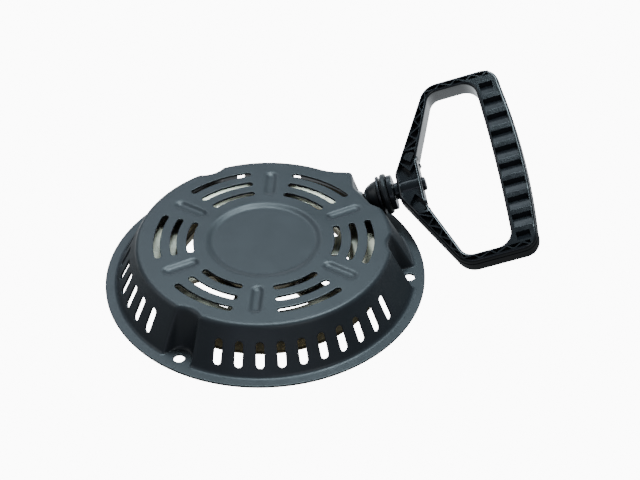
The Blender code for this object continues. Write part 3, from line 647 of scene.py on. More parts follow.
def wall_radius(degrees, z):
    """Radius of the cover's wall, with the lug pockets and the ear blended in."""
    radius = np.full_like(degrees, WALL_FOOT_R - (z - WALL_FOOT_Z) * WALL_SLOPE)
    for lug in LUG_ANGLES:
        turn = np.radians(degrees - lug)
        pocket = POCKET_R + POCKET_FLARE * z
        sideways = BOLT_CIRCLE_R * np.sin(turn)
        past = np.maximum(np.abs(sideways) - pocket, 0.0)
        depth = np.sqrt(np.maximum(pocket ** 2 - sideways ** 2, 0.0))
        scoop = BOLT_CIRCLE_R * np.cos(turn) - depth + 3.0 * past
        scoop = np.where(np.cos(turn) > 0, scoop, 200.0)
        radius = smooth_min(radius, scoop, 3.0)
    turn = np.clip(degrees % 360, RECESS_START, EAR_END)
    along = axis_vectors()[0]
    distance = GUIDE_POINT.dot(along) + EAR_FACE_S - z * along.z
    end_face = distance / (along.x * np.cos(np.radians(turn)) + along.y * np.sin(np.radians(turn)))
    side_face = (EAR_SIDE_Y + (COVER_H - z) * EAR_SIDE_SLOPE) / np.sin(np.radians(turn))
    side_face = smooth_max(radius, side_face, 3.0)
    ear = smooth_max(np.full_like(radius, RECESS_R), smooth_min(end_face, side_face, 2.5), 3.0)
    share = smooth_step((turn - RECESS_START) / (RECESS_FULL - RECESS_START))
    inside = (degrees % 360 > RECESS_START) & (degrees % 360 < EAR_END)
    return np.where(inside, radius + (ear - radius) * share, radius)


def cover_lines(degrees):
    """Wall ends, its steepness and the fillets' tangent lengths at each angle."""
    top = wall_radius(degrees, COVER_H)
    foot = wall_radius(degrees, SHEET)
    steep = np.arctan2(COVER_H - SHEET, foot - top)
    return top, foot, steep, EDGE_FILLET * np.tan(steep / 2), FOOT_FILLET * np.tan(steep / 2)


def stretch_of(flat, low, high):
    """Which points lie in a part of the flat layout, and their share of the way through it."""
    return (flat > low) & (flat <= high), (flat - low) / (high - low)


def cover_skin(flat, degrees):
    """Points of the skin for flat radii and angles, in millimetres."""
    top, foot, steep, edge_run, foot_run = cover_lines(degrees)
    radius = flat.copy()
    height = np.full_like(flat, COVER_H)
    height -= DISH_DEPTH * smooth_step((DISH_R + 0.4 - flat) / (DISH_R - DISH_FLOOR_R + 0.8))
    turn = np.radians((degrees - 30) % 60 - np.where((degrees - 30) % 60 > 30, 60, 0))
    x = flat * np.cos(turn)
    y = flat * np.sin(turn)
    reach = np.hypot(x - np.clip(x, BEAD_R0, BEAD_R1), y)
    height -= BEAD_DEPTH * smooth_step((BEAD_HALF_W + 0.5 - reach) / 3.4) * (flat < FLAT_PLANE)

    part, share = stretch_of(flat, FLAT_PLANE, FLAT_EDGE)
    radius = np.where(part, FLAT_PLANE + (top - edge_run - FLAT_PLANE) * share, radius)

    part, share = stretch_of(flat, FLAT_EDGE, FLAT_WALL)
    bend = steep * share
    radius = np.where(part, top - edge_run + EDGE_FILLET * np.sin(bend), radius)
    height = np.where(part, COVER_H - EDGE_FILLET * (1 - np.cos(bend)), height)

    part, share = stretch_of(flat, FLAT_WALL, FLAT_FOOT)
    r0, z0 = top + edge_run * np.cos(steep), COVER_H - edge_run * np.sin(steep)
    r1, z1 = foot - foot_run * np.cos(steep), SHEET + foot_run * np.sin(steep)
    radius = np.where(part, r0 + (r1 - r0) * share, radius)
    height = np.where(part, z0 + (z1 - z0) * share, height)

    part, share = stretch_of(flat, FLAT_FOOT, FLAT_FLANGE)
    bend = steep * (1 - share)
    radius = np.where(part, foot + foot_run - FOOT_FILLET * np.sin(bend), radius)
    height = np.where(part, SHEET + FOOT_FILLET * (1 - np.cos(bend)), height)

    part = flat > FLAT_FLANGE
    share = (flat - FLAT_FLANGE) / (FLAT_RIM - FLAT_FLANGE)
    start = foot + foot_run
    radius = np.where(part, start + (FLANGE_R - start) * share, radius)
    height = np.where(part, SHEET, height)
    return np.column_stack((to_flat(radius, degrees), height))


def flat_wall(degrees, z):
    """Flat radius of a point of the wall at a height."""
    _, _, steep, edge_run, foot_run = cover_lines(degrees)
    z0 = COVER_H - edge_run * np.sin(steep)
    z1 = SHEET + foot_run * np.sin(steep)
    return FLAT_WALL + (FLAT_FOOT - FLAT_WALL) * (z0 - z) / (z0 - z1)


def cover_openings():
    """Outlines of every slot and hole, as arrays of flat x, y."""
    outlines = []
    for group in range(6):
        for radius, half_angle in ARC_SLOTS:
            steps = int(radius * 2 * radians(half_angle) / 0.75)
            outlines.append(np.array(arc_slot(radius, group * 60, half_angle, ARC_SLOT_W, steps, 10)))
    lean = atan2(WALL_SLOPE, 1)
    middle = (WALL_SLOT_Z0 + WALL_SLOT_Z1) / 2
    length = (WALL_SLOT_Z1 - WALL_SLOT_Z0) / cos(lean)
    shape = np.array(capsule(-length / 2, length / 2, WALL_SLOT_W, 12, 14))
    for first, count in WALL_SLOT_GROUPS:
        for k in range(count):
            angle = first + k * WALL_SLOT_STEP
            z = middle + shape[:, 0] * cos(lean)
            radius = WALL_FOOT_R - (z - WALL_FOOT_Z) * WALL_SLOPE
            degrees = angle + np.degrees(np.arctan2(shape[:, 1], radius))
            outlines.append(to_flat(flat_wall(degrees, z), degrees))
    for lug in LUG_ANGLES:
        hole = np.array(circle(BOLT_HOLE_R, 36, (BOLT_CIRCLE_R, 0)))
        degrees = lug + np.degrees(np.arctan2(hole[:, 1], hole[:, 0]))
        _, foot, _, _, foot_run = cover_lines(degrees)
        start = foot + foot_run
        share = (np.hypot(hole[:, 0], hole[:, 1]) - start) / (FLANGE_R - start)
        outlines.append(to_flat(FLAT_FLANGE + (FLAT_RIM - FLAT_FLANGE) * share, degrees))
    place = axis_matrix() @ Matrix.Translation((EAR_FACE_S, 0, 0)) @ ALONG_X
    rim = np.array([place @ Vector((x, y, 0)) for x, y in circle(GUIDE_HOLE_R, 48)])
    degrees = np.degrees(np.arctan2(rim[:, 1], rim[:, 0]))
    outlines.append(to_flat(flat_wall(degrees, rim[:, 2]), degrees))
    return outlines


def to_flat(radius, degrees):
    return np.stack((radius * np.cos(np.radians(degrees)), radius * np.sin(np.radians(degrees))), axis=1)


def cover_grid():
    """Rows and columns of the flat layout, closer together where the skin bends."""
    rows = list(np.arange(29.6, 36.8, 0.72)) + list(np.linspace(37.4, FLAT_PLANE, 30))
    ends = (FLAT_PLANE, FLAT_EDGE, FLAT_WALL, FLAT_FOOT, FLAT_FLANGE, FLAT_RIM)
    for low, high, count in zip(ends, ends[1:], (5, 6, 18, 5, 7)):
        rows += list(np.linspace(low, high, count + 1)[1:])
    columns = []
    angle = 0.0
    while angle < 360 - 1e-6:
        near_lug = min(abs((angle - lug + 180) % 360 - 180) for lug in LUG_ANGLES) < 9.9
        columns.append(angle)
        angle += 0.45 if near_lug or 21.9 < angle < 71.9 else 0.9
    points = [np.zeros((1, 2))]
    for radius in (6.0, 12.0, 18.0, 23.0, 27.0):
        points.append(to_flat(np.full(60, radius), np.arange(60) * 6.0))
    columns = np.array(columns)
    for row in rows:
        points.append(to_flat(np.full(len(columns), row), columns))
    return np.concatenate(points), len(columns)


def points_near(points, outline, margin):
    """Numbers of the points in an outline's box, with a margin round it."""
    return np.nonzero(((points > outline.min(0) - margin) & (points < outline.max(0) + margin)).all(1))[0]


def cover_layout(grid, columns, outlines):
    """Points and triangles of the flat layout, less its openings; columns is the rim's point count."""
    keep = np.ones(len(grid), bool)
    rim_start = len(grid) - columns
    for outline in outlines:
        near = points_near(grid, outline, 1.0)
        if not len(near):
            continue
        gap = np.linalg.norm(grid[near][:, None] - outline[None], axis=2).min(1)
        keep[near[(gap < 0.5) | inside_outline(grid[near], outline)]] = False
    keep[rim_start:] = True
    grid = grid[keep]
    rim = len(grid) - columns
    edges = [(rim + k, rim + (k + 1) % columns) for k in range(columns)]
    count = len(grid)
    for outline in outlines:
        size = len(outline)
        edges += [(count + k, count + (k + 1) % size) for k in range(size)]
        count += size
    flat = [Vector(point) for point in np.concatenate([grid, *outlines]).tolist()]
    verts, _, faces, _, _, _ = delaunay_2d_cdt(flat, edges, [], 0, 1e-6)
    layout = np.array([tuple(vert) for vert in verts])
    triangles = np.array(faces)
    centres = layout[triangles].mean(1)
    open_faces = np.zeros(len(triangles), bool)
    for outline in outlines:
        near = points_near(centres, outline, 0.0)
        open_faces[near[inside_outline(centres[near], outline)]] = True
    return layout, triangles[~open_faces]


def build_cover():
    grid, columns = cover_grid()
    layout, triangles = cover_layout(grid, columns, cover_openings())
    skin = cover_skin(np.hypot(*layout.T), np.degrees(np.arctan2(layout[:, 1], layout[:, 0])) % 360)
    mesh = bpy.data.meshes.new("cover_shell")
    mesh.from_pydata((skin * MM).tolist(), [], triangles.tolist())
    bm = bmesh.new()
    bm.from_mesh(mesh)
    bmesh.ops.delete(bm, geom=[vert for vert in bm.verts if not vert.link_faces], context="VERTS")
    up = sum(face.normal.z * face.calc_area() for face in bm.faces)
    if up < 0:
        bmesh.ops.reverse_faces(bm, faces=bm.faces)
    bm.to_mesh(mesh)
    bm.free()
    cover = add_object("cover_shell", mesh)
    modify(cover, "SOLIDIFY", thickness=SHEET * MM, offset=-1.0, use_even_offset=True,
           use_quality_normals=True)
    return eased(cover, 0.22, 50)


def inside_outline(points, outline):
    inside = np.zeros(len(points), bool)
    for (x0, y0), (x1, y1) in zip(outline, np.roll(outline, -1, axis=0)):
        crosses = (y0 > points[:, 1]) != (y1 > points[:, 1])
        if y1 != y0:
            inside ^= crosses & (points[:, 0] < x0 + (points[:, 1] - y0) * (x1 - x0) / (y1 - y0))
    return inside


# ---- reel and what it carries

def reel_half(name, side):
    def z(height):
        return REEL_MID_Z + side * height

    face = GAP / 2
    rise = UPPER_FLANK_RISE if side > 0 else LOWER_FLANK_RISE
    profile = [(HUB_R + GAP, z(face), 0.2), (DRUM_R, z(face), 0), (DRUM_R, z(GROOVE_HALF), 0.5),
               (REEL_R - 1.5, z(GROOVE_HALF + rise), 0.8), (REEL_R, z(GROOVE_HALF + rise + 0.2), 0.3),
               (REEL_R, z(GROOVE_HALF + rise + REEL_SHEET), 0.3),
               (DRUM_R - 0.4, z(GROOVE_HALF + REEL_SHEET), 1.2),
               (DRUM_R - REEL_SHEET, z(GROOVE_HALF + 0.4), 0.8),
               (DRUM_R - REEL_SHEET, z(face + REEL_SHEET), 0.8), (HUB_R + GAP, z(face + REEL_SHEET), 0.2)]
    half = shaped(name, lambda body: add_turned(body, rounded(profile, 3), 144))
    openings = [window_outline(WINDOW_PHASE + k * 60) for k in range(6)]
    openings += [circle(2.3, 24, polar(RIVET_CIRCLE_R, angle)) for angle in RIVET_ANGLES]
    if side < 0:
        openings += [circle(PAWL_PIN_R + GAP, 24, polar(PAWL_CIRCLE_R, angle)) for angle in PAWL_ANGLES]

    def add_openings(tool):
        for outline in openings:
            add_prism(tool, outline, REEL_MID_Z - 5, REEL_MID_Z + 5)

    combine(half, add_openings)
    return eased(half, 0.2, 50)


def window_outline(middle):
    """Reel window with rounded corners."""
    spread = WINDOW_HALF_ANGLE
    corners = [(*polar(WINDOW_R1, middle - spread), 2.2)]
    corners += [(*polar(WINDOW_R1, middle + step), 0) for step in np.linspace(-spread + 5, spread - 5, 7)]
    corners += [(*polar(WINDOW_R1, middle + spread), 2.2), (*polar(WINDOW_R0, middle + spread - 2), 2.2)]
    corners += [(*polar(WINDOW_R0, middle + step), 0) for step in np.linspace(spread - 7, -spread + 7, 5)]
    corners += [(*polar(WINDOW_R0, middle - spread + 2), 2.2)]
    return rounded(corners, 5)


def build_rivet(name, angle):
    place = Matrix.Translation((*polar(RIVET_CIRCLE_R, angle), REEL_MID_Z))
    grip = GAP / 2 + REEL_SHEET + GAP
    top = grip + 1.0
    profile = [(0, -top, 0), (2.6, -top, 0.6), (3.6, -grip - 0.3, 0.3), (3.6, -grip, 0), (2.0, -grip, 0),
               (2.0, grip, 0), (3.6, grip, 0), (3.6, grip + 0.3, 0.3), (2.6, top, 0.6), (0, top, 0)]
    return turned(name, profile, 32, place)


def pawl_frame(angle):
    return Matrix.Rotation(radians(angle), 4, "Z") @ Matrix.Translation((PAWL_CIRCLE_R, 0, 0))


def build_pawl(name, angle):
    peg_x = PEG_CIRCLE_R - PAWL_CIRCLE_R
    tip = PAWL_LENGTH
    corners = [(peg_x - 2.2, -2.4, 2.0), (3.0, -PAWL_HUB_R, 3.0), (4.6, 3.0, 2.5), (2.2, tip - 6, 8),
               (3.2, tip, 0.5), (-2.2, tip - 1.5, 0.8), (-4.4, 6.0, 2.5), (peg_x - 2.2, 2.4, 2.0)]
    pawl = shaped(name, lambda body: add_prism(body, rounded(corners, 6), *PAWL_Z))
    combine(pawl, lambda tool: add_prism(tool, circle(PAWL_PIN_R + GAP, 32), 0, 20))
    bevel(pawl, 0.25, 2, 40)
    peg = [(0, PLATE_Z[0] + 0.2), (1.1, PLATE_Z[0] + 0.2), (1.3, PLATE_Z[0] + 0.4), (1.3, PAWL_Z[0] + 1),
           (0, PAWL_Z[0] + 1)]
    combine(pawl, lambda tool: add_turned(tool, peg, 24, Matrix.Translation((peg_x, 0, 0))), "UNION")
    move(pawl, pawl_frame(angle))
    return smooth(pawl, 40)


def coil_end_angle():
    guide_r = hypot(GUIDE_POINT.x, GUIDE_POINT.y)
    return atan2(GUIDE_POINT.y, GUIDE_POINT.x) + acos(ROPE_LAST_R / guide_r)


def coil_point(turn):
    angle = coil_end_angle() + (ROPE_TURNS - turn) * 2 * pi
    side = -ROPE_SIDE + 2 * ROPE_SIDE * smooth_step((turn - 0.82) / 0.16)
    climb = smooth_step((turn - 1.66) / 0.16)
    radius = ROPE_FIRST_R + (ROPE_LAST_R - ROPE_FIRST_R) * climb
    return Vector((radius * cos(angle), radius * sin(angle), REEL_MID_Z + side * (1 - climb)))


def knot_profile(start, radius):
    shape = ((0, 0), (0.75, 0.1), (1.0, 0.55), (0.86, 0.95), (1.0, 1.35), (0.7, 1.75), (0, 1.85))
    return [(r * radius, start + z * radius * KNOT_STRETCH, 0 if r == 0 else 0.5) for r, z in shape]


def ring_profile(r0, r1, z0, z1, fillet):
    return [(r0, z0, fillet), (r1, z0, fillet), (r1, z1, fillet), (r0, z1, fillet)]


def build_works():
    """The reel and what lies round its hub, except for the rope, the pawls and their spring wires."""
    for name, side in (("reel_upper", 1), ("reel_lower", -1)):
        add_piece(reel_half(name + "_plate", side), "zinc", "reel", name)
    top = CASE_Z1
    profile = [(POST_R + GAP, top - REEL_SHEET, 0.2), (POST_R + GAP, top, 0.2), (CASE_R, top, 2.0),
               (CASE_R, CASE_Z0, 0.3), (CASE_R - REEL_SHEET, CASE_Z0, 0.3),
               (CASE_R - REEL_SHEET, top - REEL_SHEET, 1.0)]
    add_turned_piece("spring_cup", "zinc", "cover", "spring_case", 96, profile)
    profile = [(0, 19, 0), (3.3, 19, 0), (3.3, 7, 0.3), (POST_R, 7, 0.6), (POST_R, top, 0.3), (0, top, 0)]
    add_turned_piece("crank_post", "steel", "cover", "centre_post", 64, profile)
    profile = ring_profile(HUB_BORE_R, HUB_R, 8.6, top - REEL_SHEET - 0.5, 0.3)
    add_turned_piece("hub_bush", "brass", "reel", "reel_bush", 64, profile)
    profile = ring_profile(3.3, 8.0, 3.9, 4.9, 0.25)
    add_turned_piece("retaining_washer", "steel", "cover", "screw_washer", 64, profile)
    add_piece(build_screw(), "steel", "cover", "centre_screw")
    add_piece(build_guide_plate(), "zinc", "pawl_guide", "guide_plate")
    for k, angle in enumerate(RIVET_ANGLES):
        name = "reel_rivet_%d" % (k + 1)
        add_piece(build_rivet(name + "_head", angle), "steel", "reel", name)


def build_pawls():
    """Each pawl with its pin and its spring."""
    head = PAWL_Z[0] - GAP
    pin_end = REEL_MID_Z - GAP / 2
    pin = [(0, head - 1.0, 0), (3.4, head - 0.8, 0.3), (3.4, head, 0), (PAWL_PIN_R, head, 0),
           (PAWL_PIN_R, pin_end, 0.2), (0, pin_end, 0)]
    spring = ((-2.0, -11.5), (-3.4, -9.0), (-5.2, -7.0), (-7.4, -5.6), (-9.8, -5.0), (-12.2, -5.4))
    for k, (angle, body) in enumerate(zip(PAWL_ANGLES, ("pawl_one", "pawl_two"))):
        place = pawl_frame(angle)
        node = "pawl_%d" % (k + 1)
        add_piece(build_pawl(node + "_dog", angle), "steel", body, node)
        node = "pawl_pin_%d" % (k + 1)
        add_turned_piece(node + "_rivet", "steel", "reel", node, 32, pin, place)
        path = [place @ Vector((x, y, sum(PAWL_Z) / 2)) for x, y in spring]
        node = "pawl_spring_%d" % (k + 1)
        add_piece(tube(node + "_wire", curved(path, 6), 0.45, 12), "spring", "reel", node)


def build_friction_spring():
    """The friction spring; the CAD's recoil spring is kept and gets its look."""
    ring = arc((0, 0), 8.6, 15, 345, 72)
    wire = tube("drag_spring", [(x, y, 7.65) for x, y in ring], 0.6, 14)
    add_piece(wire, "spring", "cover", "friction_spring")
    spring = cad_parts["recoil_spring"]
    spring.data.materials.clear()
    spring.data.materials.append(LOOKS["spring"][0])


def build_drum_rope():
    """Rope wound on the drum, and the knot that holds its inner end."""
    clear = 0.012
    steps = int(ROPE_TURNS * 110)
    coil = [coil_point(clear + (ROPE_TURNS - 2 * clear) * k / steps) for k in range(steps + 1)]
    add_piece(tube("rope_on_drum", coil, ROPE_R, 18), "rope", "reel", "rope_coil")
    place = Matrix.Rotation(coil_end_angle() + ROPE_TURNS * 2 * pi, 4, "Z")
    place = place @ Matrix.Translation((DRUM_R, 0, KNOT_HOLE_Z))
    lowered = Matrix.Translation((0, 0, -1.7)) @ place @ ALONG_X
    knot = turned("drum_knot", knot_profile(-6.6, 2.9), 32, lowered)
    stub = [(0, -6), (1.3, -6), (1.3, 0), (0, 0)]
    combine(knot, lambda tool: add_turned(tool, stub, 24, place @ ALONG_X), "UNION")
    add_piece(smooth(knot), "rope", "reel", "rope_knot_reel")


def curved(points, steps):
    """Smooth curve through points."""
    made = []
    last = len(points) - 1
    for i in range(last):
        p0, p1, p2, p3 = points[max(i - 1, 0)], points[i], points[i + 1], points[min(i + 2, last)]
        for k in range(steps):
            t = k / steps
            made.append(0.5 * (2 * p1 + (p2 - p0) * t + (2 * p0 - 5 * p1 + 4 * p2 - p3) * t * t
                               + (3 * p1 - p0 - 3 * p2 + p3) * t ** 3))
    return made + [points[-1]]


def build_screw():
    """Hexagon head with chamfered corners on the screw's shank."""
    profile = [(0, 17), (2.7, 17), (3.0, 16.6), (3.0, 2.6), (0, 2.6)]
    screw = shaped("guide_screw", lambda body: add_turned(body, profile, 48))
    combine(screw, lambda tool: add_prism(tool, circle(10 / sqrt(3), 6), 0, 3.6), "UNION")
    cone = [(0, -1), (4.0, -1), (6.6, 1.6), (6.6, 20), (0, 20)]
    combine(screw, lambda tool: add_turned(tool, cone, 64), "INTERSECT")
    return eased(screw, 0.15, 40)


def build_guide_plate():
    profile = rounded(ring_profile(3.6, PLATE_R, *PLATE_Z, 0))
    plate = shaped("guide_disc", lambda body: add_turned(body, profile, 96))
    outline = capsule(PEG_CIRCLE_R - 3.4, PEG_CIRCLE_R + 4.2, 3.6, 10)

    def add_slots(tool):
        for angle in PAWL_ANGLES:
            add_prism(tool, outline, 0, 10, Matrix.Rotation(radians(angle), 4, "Z"))

    combine(plate, add_slots)
    return eased(plate, 0.25, 40)


# ---- rope, guide, buffer and handle

def build_rope_line():
    """The rope outside the drum, and what is threaded on it from the guide to the handle's plug."""
    along = axis_vectors()[0]
    start = coil_point(ROPE_TURNS)
    end = GUIDE_POINT + along * -3.3
    lead = [start.lerp(end, k / 40) for k in range(41)]
    add_piece(tube("rope_lead_run", lead, ROPE_R, 20), "rope", "cover", "rope_lead")
    stations = [-2.6 + 0.1 * k for k in range(29)] + [0.6 + 1.2 * k for k in range(26)]
    rope = tube("rope_pull_run", [(s, 0, 0) for s in stations], ROPE_R, 20, axis_matrix())
    add_piece(rope, "rope_axis", None, "rope_end")
    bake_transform(rope)

    inner = EAR_FACE_S - SHEET - 2.6
    outer = EAR_FACE_S + GAP
    lip = outer + 1.4
    eyelet = [(4.4, inner, 0.5), (GUIDE_HOLE_R - GAP, inner, 0.3), (GUIDE_HOLE_R - GAP, outer, 0),
              (GUIDE_LIP_R, outer, 0.2), (GUIDE_LIP_R, lip - 0.6, 0.3), (GUIDE_LIP_R - 0.8, lip, 0.5),
              (5.4, lip + 1.6, 0.7), (4.2, lip + 1.6, 0.8), (3.2, lip, 1.5), (3.2, inner + 2, 1.0)]
    nose = [(ROPE_BORE_R, 9.6, 0.2), (ROPE_BORE_R, 0.4, 0.3), (4.6, 0.4, 0.5), (6.9, 2.1, 2.0),
            (8.4, 4.3, 4.0), (9.5, 6.8, 4.0), (10.2, 9.6, 0.5)]
    washer = ring_profile(ROPE_BORE_R, 12.3, 9.9, 11.4, 0.35)
    grommet = [(ROPE_BORE_R, 11.7, 0), (9.6, 11.7, 0.3), (9.6, 12.7, 0.3), (12.4, 12.7, 0.5),
               (13.0, 13.7, 0.5), (13.0, 15.3, 0.6), (12.3, 16.2, 0.5), (ROPE_BORE_R, 16.2, 0)]
    boss = ring_profile(ROPE_BORE_R, 11.2, 16.5, 19.7, 0.6)
    start = KNOT_S + KNOT_R * KNOT_LENGTH + 0.4
    cap = [(0, start, 0), (KNOT_R + 0.2, start, 0.2), (KNOT_R + 0.2, HUB_INNER_S + 1.6, 0.4),
           (KNOT_R - 0.8, HUB_INNER_S + 2.2, 0.5), (0, HUB_INNER_S + 2.2, 0)]
    pieces = (
        ("handle_knot", "rope", "rope_head", "rope_knot_handle", 40, knot_profile(KNOT_S, KNOT_R)),
        ("eyelet", "steel", "cover", "rope_guide", 72, eyelet),
        ("buffer_nose", "rubber", "rope_head", "buffer_cone", 72, nose),
        ("stop_washer", "dark_steel", "rope_head", "stop_disc", 96, washer),
        ("buffer_grommet", "rubber", "rope_head", "buffer_ring", 96, grommet),
        ("handle_boss", "plastic", "pull_handle", "handle_collar", 96, boss),
        ("knot_cap", "plastic", "pull_handle", "handle_plug", 48, cap),
    )
    for piece in pieces:
        add_turned_piece(*piece, axis_matrix() @ ALONG_X)


def bowed(corner_s, half_w, bow, steps):
    shares = [-1 + 2 * k / steps for k in range(steps + 1)]
    return [(corner_s + bow * (1 - share * share), half_w * share, 0) for share in shares]


def mirrored(lower, edge):
    upper = [(s, -w, r) for s, w, r in reversed(lower)]
    return rounded(lower + edge + upper, 14)


def handle_outline():
    lower = [(HANDLE_S0, -8.5, 6), (52.6, -HANDLE_HALF_W, 13), (HANDLE_S1, -HANDLE_HALF_W, 10)]
    return mirrored(lower, bowed(HANDLE_S1, HANDLE_HALF_W - 12, HANDLE_BOW, 24))


def opening_outline():
    lower = [(HUB_INNER_S, -16.5, 12), (54.6, -OPENING_HALF_W, 8), (OPENING_S1, -OPENING_HALF_W, 10)]
    return mirrored(lower, bowed(OPENING_S1, OPENING_HALF_W - 12, 1.0, 12))


def open_path(corners, steps=10):
    """Open polyline with its inner corners rounded."""
    first = Vector(corners[0][:2])
    points = [first]
    for (x0, y0, _), (x, y, radius), (x1, y1, _) in zip(corners, corners[1:], corners[2:]):
        trio = rounded([(x0, y0, 0), (x, y, radius), (x1, y1, 0)], steps)
        points += [Vector(point) for point in trio[1:-1]]
    points.append(Vector(corners[-1][:2]))
    return points


def at_share(path, share):
    lengths = [(b - a).length for a, b in zip(path, path[1:])]
    left = share * sum(lengths)
    for a, b, length in zip(path, path[1:], lengths):
        if left <= length:
            return a.lerp(b, left / length)
        left -= length
    return path[-1]


def truss_paths(side):
    """Feet of the outer and inner rails along one arm, from the hub's cross rib to the grip."""
    outer = [(31.8, 23.4, 0), (53.4, 63.3, 11.5), (94.6, 62.9, 0)]
    inner = [(39.2, 23.4, 0), (53.6, 60.3, 8.5), (94.6, 59.9, 0)]
    return tuple(open_path([(s, w * side, r) for s, w, r in path]) for path in (outer, inner))


def add_rib(tool, first, last, low, high):
    run = (last - first).normalized() * RIB_W * 0.3
    side = Vector((-run.y, run.x)).normalized() * RIB_W / 2
    first = first - run
    last = last + run
    outline = [first + side, first - side, last - side, last + side]
    add_prism(tool, [tuple(point) for point in outline], low, high)


def under_face(sign, shallow, deep):
    """Low and high Z between two depths under one of the handle's faces."""
    return sorted((sign * (HANDLE_T / 2 - shallow), sign * (HANDLE_T / 2 - deep)))


def add_handle_channels(tool):
    for sign in (1, -1):
        low, high = under_face(sign, -2, TRUSS_DEPTH)
        for side in (1, -1):
            outer, inner = truss_paths(side)
            add_prism(tool, [tuple(point) for point in outer + inner[::-1]], low, high)
        add_prism(tool, [*HUB_POCKET, *((s, -w) for s, w in reversed(HUB_POCKET))], low, high)


def add_handle_ribs(tool):
    for sign in (1, -1):
        low, high = under_face(sign, 0.15, TRUSS_DEPTH + 0.5)
        for side in (1, -1):
            rails = truss_paths(side)
            zigzag = [at_share(rails[k % 2], k / TRUSS_LEGS) for k in range(TRUSS_LEGS + 1)]
            tips = [Vector((s, w * side)) for s, w in HUB_V]
            for line in (zigzag, tips):
                for a, b in zip(line, line[1:]):
                    add_rib(tool, a, b, low, high)
            plate = rounded([(s, w * side, 0.4) for s, w in HUB_PLATE], 3)
            add_prism(tool, plate, *under_face(sign, 1.2, TRUSS_DEPTH + 0.5))


ACROSS_GRIP = Matrix(((0, 0, 1, 0), (1, 0, 0, 0), (0, 1, 0, 0), (0, 0, 0, 1)))


def add_grip_ramps(tool):
    """Finger grips: each ramp falls from the face to a step at its upper end."""
    half = HANDLE_T / 2
    for k in range(GRIP_POCKETS):
        w = (k - (GRIP_POCKETS - 1) / 2) * GRIP_POCKET_PITCH
        share = w / (HANDLE_HALF_W - 12)
        outer = HANDLE_S1 + HANDLE_BOW * max(0.0, 1 - share * share) - 1.9
        if abs(w) > 50:
            outer -= 2.2
        step = w - 0.3
        start = max(step - RAMP_RUN, -RAMP_LIMIT)
        ramp = [(start + (step - start) * j / 6, half - RAMP_DEPTH * (j / 6) ** 0.9) for j in range(7)]
        ramp += [(step + 1.3, half), (step + 1.3, half + 1), (start, half + 1)]
        for sign in (1, -1):
            add_prism(tool, [(u, v * sign) for u, v in ramp], OPENING_S1 + 2.6, outer, ACROSS_GRIP)


def build_handle():
    half = HANDLE_T / 2
    outline = handle_outline()
    handle = shaped("pull_grip", lambda body: add_prism(body, outline, -half, half))
    combine(handle, lambda tool: add_prism(tool, opening_outline(), -20, 20))
    bevel(handle, EDGE_BEVEL, 4, 60)
    band = offset(outline, BAND_RISE)
    combine(handle, lambda tool: add_prism(tool, band, BAND_MARGIN - half, half - BAND_MARGIN), "UNION")
    combine(handle, lambda tool: add_prism(tool, opening_outline(), -half - 1, half + 1))
    combine(handle, add_handle_channels, self_crossing=True)
    combine(handle, add_handle_ribs, "UNION", self_crossing=True)
    combine(handle, add_grip_ramps)
    stem_end = HUB_INNER_S - 0.6
    stem = [(0, 20.0), (STEM_R - 0.4, 20.0), (STEM_R, 20.4), (STEM_R, stem_end), (0, stem_end)]
    combine(handle, lambda tool: add_turned(tool, stem, 48, ALONG_X), "UNION")
    seat = KNOT_S - GAP
    wide = KNOT_R + 0.5
    bore = [(0, 10), (ROPE_BORE_R, 10), (ROPE_BORE_R, seat), (wide, seat), (wide, 45), (0, 45)]
    combine(handle, lambda tool: add_turned(tool, bore, 32, ALONG_X))
    move(handle, axis_matrix())
    add_piece(smooth(handle, 40), "plastic", "pull_handle", "handle")


# ---- studio

def mix_shaders(tree, amount, first, second):
    return add_node(tree, "ShaderNodeMixShader", {0: amount, 1: first, 2: second}).outputs[0]


def by_ray(tree, dim, white):
    """The white shader for the camera and the dim one for every other ray."""
    paths = add_node(tree, "ShaderNodeLightPath")
    return mix_shaders(tree, paths.outputs["Is Camera Ray"], dim.outputs[0], white.outputs[0])


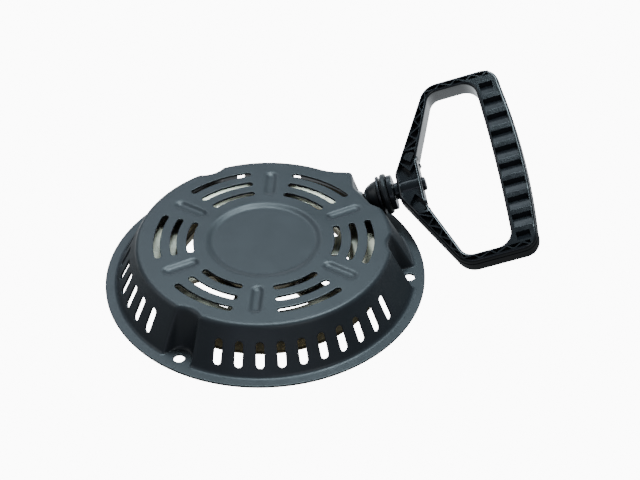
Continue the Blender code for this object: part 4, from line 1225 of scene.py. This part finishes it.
def build_floor():
    """White to the eye, dim in reflections and brighter there at the back, and open from below."""
    bpy.ops.mesh.primitive_plane_add(size=12, location=(0, 0, -0.0004))
    floor = context.object
    floor.name = "studio_floor"
    material = bpy.data.materials.new("studio_floor")
    material.use_nodes = True
    tree = material.node_tree
    tree.nodes.clear()
    coords = add_node(tree, "ShaderNodeTexCoord")
    place = add_node(tree, "ShaderNodeSeparateXYZ", {0: coords.outputs["Object"]})
    total = add_node(tree, "ShaderNodeMath", operation="ADD")
    ramps = (("X", -0.45, 0.35, 0.34, 0.07), ("Y", 0.05, 0.13, 0.0, 1.8))
    for index, (axis, start, end, first, last) in enumerate(ramps):
        inputs = {"Value": place.outputs[axis], **map_range(first, last, start, end)}
        tree.links.new(add_node(tree, "ShaderNodeMapRange", inputs).outputs["Result"], total.inputs[index])
    tint = (0.90, 0.96, 1.0, 1.0)
    dim = add_node(tree, "ShaderNodeEmission", {"Color": tint, "Strength": total.outputs[0]})
    white = add_node(tree, "ShaderNodeEmission", {"Strength": WHITE})
    clear = add_node(tree, "ShaderNodeBsdfTransparent")
    backfacing = add_node(tree, "ShaderNodeNewGeometry").outputs["Backfacing"]
    surface = mix_shaders(tree, backfacing, by_ray(tree, dim, white), clear.outputs[0])
    add_node(tree, "ShaderNodeOutputMaterial", {"Surface": surface})
    floor.data.materials.append(material)


def build_world():
    world = bpy.data.worlds.new("studio")
    context.scene.world = world
    world.use_nodes = True
    tree = world.node_tree
    tree.nodes.clear()
    dim = add_node(tree, "ShaderNodeBackground", {"Color": (0.78, 0.88, 1.0, 1.0), "Strength": AMBIENT})
    white = add_node(tree, "ShaderNodeBackground", {"Strength": WHITE})
    add_node(tree, "ShaderNodeOutputWorld", {"Surface": by_ray(tree, dim, white)})


def add_softbox(name, azimuth, elevation, distance, width, height, radiance, colour):
    """Area light aimed at the part."""
    data = bpy.data.lights.new(name, "AREA")
    data.shape = "RECTANGLE"
    data.size = width
    data.size_y = height
    data.energy = radiance * pi * width * height
    data.color = colour
    light = add_object(name, data)
    towards = direction(azimuth, elevation)
    light.location = towards * distance + Vector((0.03, 0, 0.02))
    light.rotation_euler = towards.to_track_quat("Z", "Y").to_euler()


# ---- assembly

place_camera()
# Each look's material, and the slot of the library's material that it takes
LOOKS = {
    "paint": (painted_steel(), "cover_paint"),
    "zinc": (zinc_plate(), "zinc_plate"),
    "steel": (bare_steel("bright_steel", (0.56, 0.56, 0.58), 0.24, 0.38), "steel"),
    "dark_steel": (bare_steel("dark_steel", (0.085, 0.085, 0.09), 0.30, 0.42), "steel"),
    "spring": (bare_steel("spring_steel", (0.16, 0.16, 0.19), 0.28, 0.42), "spring_steel"),
    "brass": (bare_steel("bush_bronze", (0.62, 0.44, 0.22), 0.28, 0.42), "bush_brass"),
    "plastic": (moulded_plastic(), "handle_plastic"),
    "rubber": (soft_rubber(), "buffer_rubber"),
    "rope": (braided_rope("rope_wound", places_by_uv), "rope_fibre"),
    "rope_axis": (braided_rope("rope_pulled", places_by_axis), "rope_fibre"),
}
add_piece(build_cover(), "paint", "cover", "housing")
build_works()
build_pawls()
build_friction_spring()
build_drum_rope()
build_rope_line()
build_handle()
build_floor()
build_world()
for softbox in SOFTBOXES:
    add_softbox(*softbox)
